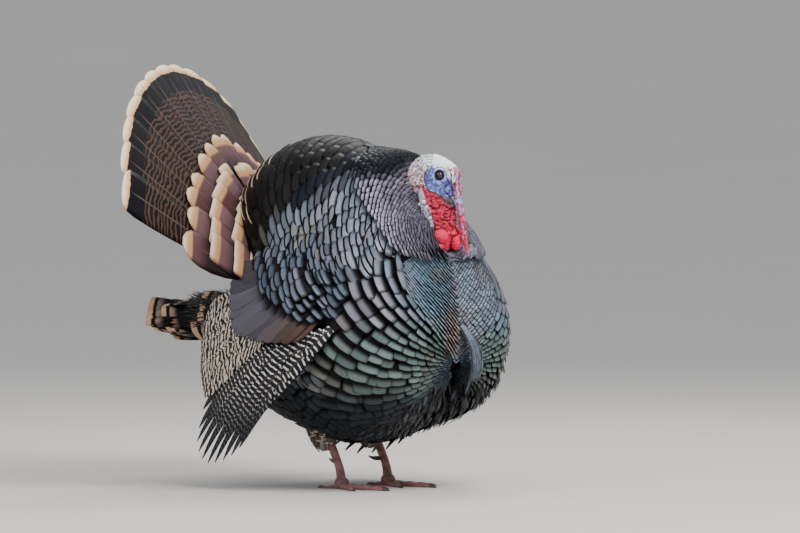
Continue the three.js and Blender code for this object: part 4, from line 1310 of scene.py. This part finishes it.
# the face stands out a little inside a crease; a groove runs over the eye and one from it to the bill
def facePush(at):
    y, z, side = at.y, at.z, at.onSide
    inFace = easeDown(at.faceAway, 0.86, 0.98) * ease(at.aboveGape, 0, 3) * easeDown(z, 13, 19) * side
    crease = hill(at.faceAway, 1.0, 0.045) * ease(at.aboveGape, -1, 2) * easeDown(z, 10, 18) * side
    gape = hill(at.aboveGape, 0, 1.1) * ease(y, -34, -28) * easeDown(y, 8, 14) * side
    brow = hill(at.eyeAway, 13.4, 0.9) * ease(z, 4, 9) * side
    ridge = hill(at.eyeAway, 15.6, 1.2) * ease(z, 5, 9) * side
    lore = hill(y, np.interp(z, *head["lore"]), 1.2) * easeDown(z, 6, 11) * ease(z, -44, -38)
    push = inFace * 0.9 - crease * 1.2 - gape * 1.5 - brow * 1.0 + ridge * 0.8 - lore * 0.9
    return push + inFace * grain(at.points, 420, 7) * 0.22


# round the eye the skin moves along the gaze: under the ball inside the lids' rim, a raised lid, then a dish
def setLids(local, flip):
    radius, rim, axis = head["eyeRadius"], head["lidRim"], unit(head["gaze"] * flip)
    off = local - head["eye"] * flip
    high = off @ axis
    away = np.linalg.norm(off - high[:, None] * axis, axis=1)
    ballTop = np.sqrt(np.maximum(radius**2 - away**2, 0))
    edge = rim - 0.5 * ease(off[:, 2], 0, 6)
    inside = easeDown(away, edge - 0.7, edge)
    lidTop = math.sqrt(radius**2 - rim**2) + 0.35 + 0.75 * hill(away - edge, 1.3, 1.0)
    dish = high - 1.0 * easeDown(away, 8.5, 12) - 0.5 * hill(away, 9.0, 0.7)
    past = ease(away, edge + 1.6, edge + 3.2)
    wanted = inside * (ballTop - 1.4) + (1 - inside) * (lidTop * (1 - past) + dish * past)
    wanted = np.where((high > -2) & (away < 12.5), wanted, high)
    return local + (wanted - high)[:, None] * axis


def sculpt(points, quads):  # folds and bumps pushed along the normals, less on the snood, then the lids
    at = facePlaces(points)
    push = (foldPush(at) + facePush(at)) * (1 - 0.6 * ease(-at.y, 40, 44)) * mm
    local = toHead(points + quadNormals(points, quads) * push[:, None])
    for side in sides.values():
        local = setLids(local, vec(side, 1, 1))
    return fromHead(local)


# pale crown and nape, a blue face inside its rim, a pale lore between the eye and the snood
def crownTint(at):
    y, z, mottle, fine = at.y, at.z, at.mottle, at.fine
    tint = mixed(hue["pinkish"], hue["white"], ease(z + mottle * 5 - y * 0.60, 6, 18))
    tint = mixed(tint, hue["white"], ease(fine, 0.20, 0.5) * 0.6)
    blush = ease(mottle + fine * 0.4, 0.15, 0.5) * ease(y, 8, 16) * easeDown(z, 6, 22)
    tint = mixed(tint, hue["blush"], blush * 0.6)
    face = easeDown(at.faceAway + mottle * 0.04, 0.92, 1.02) * ease(at.aboveGape, -1, 1.5) * at.onSide
    face = face * easeDown(z - y * 0.25 + mottle * 3, 13, 20)
    at.face = np.maximum(face, ease(-z, 12, 20) * ease(-y, 16, 20) * ease(at.aboveGape, -1, 1.5))
    paler = ease(fine + mottle * 0.7 - 0.02 * at.eyeAway, -0.45, 0.35)
    tint = mixed(tint, mixed(hue["blue"], hue["paleBlue"], paler), at.face)
    tint = mixed(tint, hue["paleBlue"], hill(at.eyeAway, 10.0, 1.1) * at.face * 0.7)
    # painted shade: the face darker blue just inside its rim, where it curves into the crease
    tint = mixed(tint, hue["blue"] * 0.5, hill(at.faceAway, 0.93, 0.08) * at.face * 0.6)
    lore = ease(-y, 25, 28) * ease(z, -8, 0) * easeDown(z, 8, 12)
    return mixed(tint, hue["white"] * vec(0.72, 0.85, 1), lore * 0.8)


# red under the gape, grey and pink behind it, red knobs on the brow, rose wattles
def throatTint(at, tint):
    y, z, mottle, fine = at.y, at.z, at.mottle, at.fine
    below = easeDown(at.aboveGape + mottle * 0.8, -1.0, 1.0) * ease(-z, 14, 20)
    tint = mixed(tint, mixed(hue["red"], hue["rose"], ease(fine, -0.2, 0.5)), below)
    rear = ease(y - np.interp(z, *head["redBack"]) + mottle * 3, -2, 2) * ease(-z, 18, 26)
    tint = mixed(tint, mixed(hue["grey"], hue["pinkish"], ease(mottle, -0.1, 0.35)), rear)
    brow = ease(-y, 26, 31) * ease(z, -10, -4) * easeDown(z, 13, 19)
    knob = ease(np.abs(mottle) + fine * 0.4, 0.16, 0.30) * brow
    tint = mixed(tint, hue["red"] * 1.15, knob * (1 - 0.5 * at.face))
    lobes = ease(0.450 - at.points[:, 2], 0, 0.004) * ease(-at.points[:, 1], 0.156, 0.162)
    return mixed(tint, hue["rose"] * vec(1.14, 0.75, 1.05), lobes)


# the snood: violet patches on red flesh, drawn out lengthwise, within its half size of its path
def snoodTint(at, tint):
    y, z, fine = at.y, at.z, at.fine
    path = np.array(head["snood"][::-1])
    off = np.abs(y - np.interp(z, path[:, 2], path[:, 1]))
    past = off - np.interp(z, path[:, 2], head["snoodHalf"][::-1])
    snood = easeDown(past, 0.9, 2.2) * easeDown(np.abs(at.x), 8, 9) * ease(-z, -9, -4)
    at.snood = snood * (1 - at.face * ease(y, -36, -34))
    streaks = grain(at.points * vec(1, 1, 0.22), 420, 13)
    patches = ease(streaks + (easeDown(-z, 50, 82) - 0.85) * 0.8, -0.16, 0.10)
    violet = mixed(hue["violet"], hue["paleViolet"], ease(fine + streaks * 0.5, 0.0, 0.45))
    flesh = mixed(hue["red"], hue["flesh"], ease(fine + at.mottle * 0.5, -0.2, 0.35))
    return mixed(tint, mixed(flesh, violet, patches * 0.85), at.snood)


def paintedCreaseShadeAndCrestHighlight(at, tint, quads):  # painted shade in the creases, painted highlight on the crests
    points = at.points
    hollow = np.sum((smoothed(points, quads, 3) - points) * quadNormals(points, quads), 1) / mm
    tint = tint * (1 - (0.72 - 0.12 * ease(at.z, -20, 0)) * ease(hollow, 0.02, 0.18))[:, None]
    return mixed(tint, np.minimum(tint * 1.35 + 0.02, 1), ease(-hollow, 0.02, 0.12))


def paintedShadeLineTint(at, tint):  # painted shade: dark lines in the grooves along the face's rim, the gape, the lore and the brow, and a dark ring round the eye for the lids' shade
    y, z = at.y, at.z
    rim = hill(at.faceAway, 1.0, 0.035) * ease(at.aboveGape, -1, 2) * easeDown(z, 8, 16)
    gape = hill(at.aboveGape, 0, 0.8) * ease(y, -34, -28) * easeDown(y, 8, 14)
    lore = hill(y, np.interp(z, *head["lore"]), 1.1) * easeDown(z, 8, 12) * ease(z, -46, -40)
    brow = hill(at.eyeAway, 13.4, 0.8) * ease(z, 6, 10) * easeDown(y, 4, 9)
    lines = np.clip(rim * 0.6 + gape * 0.8 + lore * 0.9 + brow * 0.8, 0, 1) * at.onSide * (1 - at.snood)
    tint = mixed(tint, hue["shadeBlue"], lines)
    # painted shade of the lids: a dark ring round the eye, reaching further up and down than across
    tall = at.eyeAway - 0.16 * np.abs(z - head["eye"][2])
    return mixed(tint, hue["shadeBlue"] * 0.35, easeDown(tall, 7.4, 8.6) * at.onSide)


def hornTint(at, tint):  # horn colour where the bill's edges run back between the face and the throat
    y, off = at.y, at.aboveGape + 0.4
    over, under = (np.interp(y, *head[key]) for key in ("hornOver", "hornUnder"))
    level = np.where(at.aboveGape > -0.4, off / over, -off / under)
    horn = easeDown(level + at.mottle * 0.3, 0.8, 1.1) * at.onSide * (1 - at.snood)
    horn = horn * ease(y, -37, -34) * easeDown(y, -5, 2)
    colour = mixed(hue["horn"], hue["darkHorn"], ease(at.fine + at.mottle * 0.5, -0.3, 0.3))
    colour = mixed(colour, hue["gape"], ease(-np.abs(off), -1.0, -0.3))
    return mixed(tint, colour, horn)


def skinTint(points, quads):  # colour of the bare skin, place by place in the head's own frame
    at = facePlaces(points)
    at.mottle, at.fine = grain(points, 300, 11), grain(points, 650, 12)
    tint = paintedCreaseShadeAndCrestHighlight(at, snoodTint(at, throatTint(at, crownTint(at))), quads)
    tint = hornTint(at, paintedShadeLineTint(at, tint))
    return np.clip(tint * (1 + 0.10 * at.fine)[:, None], 0, 1)


def shankRipple(share, angle):  # scales across the front
    return -0.5 * np.abs(np.sin(share * 46)) ** 0.3 * (np.sin(angle) < 0.3)


# rings of a toe, flatter below, with slow swellings for its pads and quick ones for its scales:
# ankle + ahead reach + sideways size wide + up size tall
def toeRings(long, heading, thick):
    share, angle = np.linspace(0, 1, 40), circle(16)
    c, s = np.cos(angle), np.sin(angle)
    reach = -4 + (long + 4) * share
    size = (thick * (1 - 0.5 * share) * (1 + 0.10 * np.sin(share * (long / 18) * 2 * math.pi)))[:, None]
    wide = np.sign(c) * np.abs(c) ** 0.8
    tall = np.where(s > 0, s, s * 0.82) + 0.82
    scales = 1 - 0.06 * np.abs(np.sin(share * long * 0.9))[:, None] * (s > 0.2)
    ahead = vec(math.sin(heading * turn), -math.cos(heading * turn), 0)
    sideways = vec(ahead[1], -ahead[0], 0)
    flat, high = size * wide * 0.98, size * tall * 0.86 * scales
    ring = sideways * flat[..., None] + vec(0, 0, 1) * high[..., None]
    return (leg["ankle"] + ahead * reach[:, None])[:, None] + ring


def legParts():  # shank, thigh, ball of the foot and toes, each for both sides
    thighHalf = [h - 6 if h > 20 else h - 2 for h in leg["thighHalf"]]      # under the feathers
    shapes = [tube(leg["shank"], leg["shankHalf"], 24, 60, shankRipple),
              tube(leg["thigh"], thighHalf, 24, 14),
              leg["ankle"] + vec(0, 0, leg["ball"][2]) + globeRings(20, 15) * leg["ball"]]
    shapes += [toeRings(*toe) for toe in leg["toes"]]
    return [loft(shape * mm * vec(side, 1, 1)) for side in sides.values() for shape in shapes]


def underCoat():  # the trunk's surface drawn in towards its core by the coat's thickness
    out = trunkAt(globeRings(96, 65))[0] - trunk["core"]
    return loft(trunk["core"] + out * (1 - trunk["coat"] / np.linalg.norm(out, axis=-1, keepdims=True)))


def skinRecipe(w):
    place = w.place()
    pores, folds = w.noise(place, 900.0, 3.0), w.noise(place, 260.0, 3.0)
    tint = (pores * 0.35 + 0.83).tinted(w.named("tint", "Color"))
    return surface(tint, 0.40 + folds * 0.25, w.bump(folds + pores * 0.4, 0.5, 0.0009))


def makeSkin():
    points, quads = fineSkin()
    points = sculpt(points, quads)
    parts = [(points, [quads]), underCoat()]
    legsFrom = sum(len(part) for part, _ in parts)
    allPoints, faces = gather(parts + legParts())
    skin = makeMesh("skin", allPoints, faces)
    tint = np.tile(hue["underCoat"], (len(allPoints), 1))
    tint[: len(points)] = skinTint(points, quads)
    low = allPoints[legsFrom:]
    pink = mixed(hue["legPink"], hue["legRed"], ease(grain(low, 160, 21), -0.3, 0.5))
    tint[legsFrom:] = mixed(pink, hue["thigh"], ease(low[:, 2], 0.098, 0.110))
    putColours(skin, "tint", tint)
    skinFinish = finish("bareSkin", skinRecipe, **{
        "Subsurface Weight": 0.12, "Subsurface Radius": (1.0, 0.35, 0.25), "Subsurface Scale": 0.002,
        "Specular IOR Level": 0.24})
    settle(skin, "face_skin", skinFinish, "head", "neck", "wattle_left", "wattle_right", "snood",
           "thigh_left", "thigh_right", "shank_left", "shank_right", "foot_left", "foot_right")
    print("skin:", len(skin.data.polygons), "faces")


makeSkin()


# Eyes: a ball with a clear bulge in front; the colours ride on the angle from its gaze, in degrees.
eye = {"pupil": 33, "iris": 60, "bulge": 0.45, "sink": 0.25, "black": (0.003, 0.003, 0.003),
       "brown": (0.045, 0.018, 0.009), "darkBrown": (0.014, 0.006, 0.004), "rim": (0.012, 0.009, 0.010)}


def eyeRecipe(w):
    angle = w.named("gazeAngle")
    iris = w.noise(w.place(), 1400.0).mix(eye["darkBrown"], eye["brown"])
    colour = angle.step(eye["pupil"] - 2, eye["pupil"] + 2).mix(eye["black"], iris)
    colour = angle.step(eye["iris"] - 3, eye["iris"] + 5).mix(colour, eye["rim"])
    return {"Base Color": colour}


# centre + ray (radius - sink + bulge), with the bulge fading out between 10 and 44 degrees from the gaze
def makeEye(side, sideName, material):
    centre, gaze = head["eye"] * vec(side, 1, 1), unit(head["gaze"] * vec(side, 1, 1))
    level = unit(np.cross(gaze, vec(0, 0, 1)))
    rays = globeRings(48, 33)
    rays = rays[..., :1] * level + rays[..., 1:2] * np.cross(level, gaze) + rays[..., 2:] * gaze
    away = lambda ray: np.arccos(np.clip(ray @ gaze, -1, 1)) / turn
    radius = head["eyeRadius"] - eye["sink"] + eye["bulge"] * easeDown(away(rays), 10, 44)
    points, faces = loft(fromHead(centre + rays * radius[..., None]))
    ball = makeMesh(f"{sideName}Eye", points, faces)
    putNumbers(ball, "gazeAngle", away(unit(toHead(points) - centre)))
    settle(ball, "eye", material, f"eye_{sideName}")


eyeFinish = finish("eyeBall", eyeRecipe, **{"Roughness": 0.06, "Coat Weight": 1.0, "Coat Roughness": 0.02})
for sideName, side in sides.items():
    makeEye(side, sideName, eyeFinish)

# Bill: two curved horn sheaths, oval in section, the upper one hooked over the lower.
bill = {"upper": [(0, -9, -27), (0, -19.5, -35.5), (0, -28.5, -43.5), (0, -34.5, -50.5), (0, -36.5, -58)],
        "upperHalf": [(13.4, 3.6), (12.2, 4.0), (9.2, 3.9), (5.2, 3.4), (0.7, 0.9)],
        "lower": [(0, -7, -32.5), (0, -16.5, -40), (0, -25, -47.5), (0, -31, -54)],
        "lowerHalf": [(12.8, 3.2), (11.2, 3.0), (7.6, 2.6), (1.4, 1.0)],
        "pale": (0.12, 0.085, 0.090), "dark": (0.030, 0.022, 0.027),
        "clawPale": (0.10, 0.075, 0.065), "clawDark": (0.035, 0.027, 0.025)}


def hornRecipe(pale, dark):
    def recipe(w):
        place = w.place()
        lines = w.noise(w.node("Mapping", {}, {"Vector": place, "Scale": (1, 1, 0.25)}), 1500.0, 3.0)
        cloud = w.noise(place, 120.0)
        colour = (cloud * 0.6 + lines * 0.4).step(0.35, 0.65).mix(pale, dark)
        return surface(colour, 0.34 + lines * 0.2, w.bump(lines, 0.3, 0.0004))
    return recipe


# ovals along a path: middle + sideways cos angle half width + across sin angle half height
def sheath(path, halves, steps=44, around=28):
    share, angle = np.linspace(0, 1, steps), circle(around)
    middle, side, across = tubeFrames(path, share)
    wide, deep = (half[:, None] for half in ovalAt(halves, share))
    flat, tall = (np.cos(angle) * wide)[..., None], (np.sin(angle) * deep)[..., None]
    return middle[:, None] + (side[:, None] * flat + across[:, None] * tall)


billFinish = finish("billHorn", hornRecipe(bill["pale"], bill["dark"]))
clawFinish = finish("clawHorn", hornRecipe(bill["clawPale"], bill["clawDark"]))
for name, key in (("upperBill", "upper"), ("lowerBill", "lower")):
    shape = fromHead(sheath(bill[key], bill[key + "Half"]))
    settle(makeMesh(name, *loft(shape)), "horn", billFinish, f"bill_{key}")
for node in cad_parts.values():
    if node.name.startswith(("claw_", "spur_")):
        node.data.materials.clear()
        node.data.materials.append(clawFinish)

# Beard: bristles along a bent path, each held a share of the way across the hank.
beard = {"path": [(4, -176, 300), (9, -204, 274), (15, -219, 246), (18, -222, 218), (17, -214, 189)],
         "half": [(3, 3), (7, 4), (12, 5), (16, 6), (13, 5)], "count": 240, "thick": 0.55, "steps": 14,
         "uneven": 0.22, "taper": 0.55, "dark": (0.022, 0.026, 0.034), "pale": (0.25, 0.31, 0.38)}


def beardRecipe(w):
    place = w.place()
    cloud = w.noise(place, 90.0)
    # painted sheen: the pale blue-grey, mixed in by cloud and by each bristle's tone, stands in for the sheen
    # on the dark bristles
    colour = (cloud * 0.5 + w.named("tone") * 0.5).step(0.25, 0.75).mix(beard["dark"], beard["pale"])
    return surface(colour, 0.42 + cloud * 0.1, w.bump(w.noise(place, 1500.0), 0.2, 0.0004))


# a bristle follows path + sideways (cos a) r width + across (sin a) r depth at random a and r, up to endAt of
# the way, in rings of four points that thin towards its tip
def makeBeard():
    count, steps = beard["count"], beard["steps"]
    share, corner = np.linspace(0, 1, steps), circle(4)[:, None]
    _, side, across = tubeFrames(beard["path"], share)
    angle, off = dice.uniform(0, 2 * math.pi, count), np.sqrt(dice.uniform(0, 1, count))
    endAt = 1 - beard["uneven"] * dice.uniform(0, 1, count) ** 2
    wide, deep = ovalAt(beard["half"], share)
    right, ahead = (np.cos(angle) * off)[:, None] * wide, (np.sin(angle) * off)[:, None] * deep
    spot = along(beard["path"], share * endAt[:, None]) + side * right[..., None] + across * ahead[..., None]
    thick = beard["thick"] * (1 - beard["taper"] * share) * spread(0.2, count)[:, None]
    ring = side[None, :, None] * np.cos(corner) + across[None, :, None] * np.sin(corner)
    points = spot[:, :, None] + ring * thick[..., None, None]
    hank = makeMesh("beardBristles", *gather([loft(one * mm) for one in points]))
    putNumbers(hank, "tone", np.repeat(dice.uniform(0, 1, count), steps * 4 + 2))
    settle(hank, "bristle", finish("beardBristle", beardRecipe), "beard")


makeBeard()

# Short dark bristles on the crown and nape, lying back along the skin, in millimetres.
bristle = {"count": 520, "long": 5.5, "wide": 0.7, "stations": 5, "taper": [0.5, 1, 1, 0.7, 0.15]}


def bristleSpots():  # places on the head, off the face and above the throat, with the skin's normals
    rays = unit(dice.normal(0, 1, (bristle["count"] * 5, 3)))
    reach = rayReach(rays, vec(0, 0, 0), headLumps, head["blend"], head["far"]) / mm
    spot = rays * reach[:, None]
    y, z = spot[:, 1], spot[:, 2]
    keep = (y - 0.4 * z > -16) & (z > -22) & (dice.uniform(0, 1, len(spot)) < 0.75)
    keep = keep & (np.hypot((y + 15) / 21, (z + 4) / 25) > 1.18)
    spot = spot[keep][: bristle["count"]]
    return spot, lumpField(spot * mm, headLumps, head["blend"])[1]


# slivers three points wide: spine + across half u + up half (1 - u^2) / 2; the spine starts in the skin and
# stands -0.4 + 1.3 s - 0.9 s^3 off it at share s
def makeBristles():
    spot, normal = bristleSpots()
    back, count = vec(0, 1, -0.75), bristle["stations"]
    lie = unit(back - normal * (back @ normal.T)[:, None] + dice.normal(0, 0.25, spot.shape))
    lie = unit(lie - normal * np.sum(lie * normal, 1)[:, None])
    steps = np.linspace(0, 1, count)
    long = bristle["long"] * spread(0.35, len(spot))
    spine = spot[:, None] + lie[:, None] * (long[:, None] * steps)[..., None]
    spine = spine + normal[:, None] * (-0.4 + 1.3 * steps - 0.9 * steps**3)[:, None]
    half = bristle["wide"] / 2 * np.array(bristle["taper"])[:, None, None]
    u = vec(-1, 0, 1)[:, None]
    across, up = np.cross(lie, normal)[:, None, None], normal[:, None, None]
    points = spine[:, :, None] + across * half * u + up * half * 0.5 * (1 - u * u)
    top, under, caps = vaneFaces(len(spot), count, 3)
    hair = makeMesh("headBristles", fromHead(points.reshape(-1, 3)), [np.vstack([top, under]), caps])
    flat = np.stack([0.5 + np.arctan2(spot[:, 0], -spot[:, 1]) / 6.6, 0.1 + (spot[:, 2] + 30) / 90], -1)
    tip = np.stack(np.meshgrid(steps, [0, 0.5, 1], indexing="ij"), -1).reshape(1, -1, 2)
    putMap(hair, "OFBake", np.clip((flat[:, None] + tip * 0.003).reshape(-1, 2), 0, 1))
    settle(hair, "bristle", finish("headBristle", beardRecipe))


makeBristles()
print("head done")

# Floor, light and camera.
studio = {"floor": (0.66, 0.63, 0.59), "sky": (0.80, 0.83, 0.88), "skyStrength": 0.75,
          "flat": 25, "rim": 38, "steep": 1 / 40,       # the floor rises by steep (r - flat)^2 out to its rim
          "aim": vec(0.032, -0.038, 0.381), "azimuth": -50, "elevation": 2, "distance": 15.3, "lens": 400,
          "lights": {  # azimuth, elevation, distance, size, watts, colour
              "key": (-15, 48, 3.2, 1.8, 112, (1.0, 0.985, 0.96)),
              "fill": (-95, 25, 3.5, 2.4, 38, (0.92, 0.96, 1.0)),
              "rim": (115, 50, 3.0, 1.4, 48, (1.0, 0.98, 0.95))}}


def floorRecipe(w):
    cloud = w.noise(w.place(), 1.2)
    colour = cloud.mix(studio["floor"], tuple(c * 0.94 for c in studio["floor"]))
    return {"Base Color": colour, "Roughness": 0.8 + cloud * 0.1}


def makeFloor():  # a round level sheet with an upturned rim: rings of quads round a middle face
    flat, rim, around = studio["flat"], studio["rim"], 64
    reach = np.concatenate([np.geomspace(0.6, flat, 12), np.linspace(flat, rim, 14)[1:]])[:, None]
    height = np.maximum(reach - flat, 0) ** 2 * studio["steep"] * np.ones(around)
    points = np.stack([np.cos(circle(around)) * reach, np.sin(circle(around)) * reach, height], -1)
    first, k = np.arange(len(reach) - 1)[:, None] * around, np.arange(around)
    inner, turned = (first + k).ravel(), (first + (k + 1) % around).ravel()
    quads = np.stack([inner, inner + around, turned + around, turned], -1)
    floor = makeMesh("floor", points.reshape(-1, 3), [quads, k[None]])
    floor.data.materials.append(finish("floorPaint", floorRecipe))


def standOff(thing, azimuth, elevation, distance):  # this far round, up and off, and turned to the aim
    a, e = azimuth * turn, elevation * turn
    way = vec(math.sin(a) * math.cos(e), -math.cos(a) * math.cos(e), math.sin(e))
    thing.location = Vector(studio["aim"] + way * distance)
    thing.rotation_euler = Vector(-way).to_track_quat("-Z", "Y").to_euler()
    bpy.context.scene.collection.objects.link(thing)


makeFloor()
for name, (azimuth, elevation, distance, size, watts, colour) in studio["lights"].items():
    lamp = bpy.data.lights.new(name, "AREA")
    lamp.size, lamp.energy, lamp.color = size, watts, colour
    standOff(bpy.data.objects.new(name, lamp), azimuth, elevation, distance)
world = bpy.data.worlds.new("studio")
world.use_nodes = True
sky = world.node_tree.nodes["Background"].inputs
sky[0].default_value = (*studio["sky"], 1)
sky[1].default_value = studio["skyStrength"]
bpy.context.scene.world = world

camera = bpy.data.objects.new("camera", bpy.data.cameras.new("camera"))
camera.data.lens, camera.data.sensor_width, camera.data.clip_end = studio["lens"], 36, 100
standOff(camera, studio["azimuth"], studio["elevation"], studio["distance"])
bpy.context.scene.camera = camera
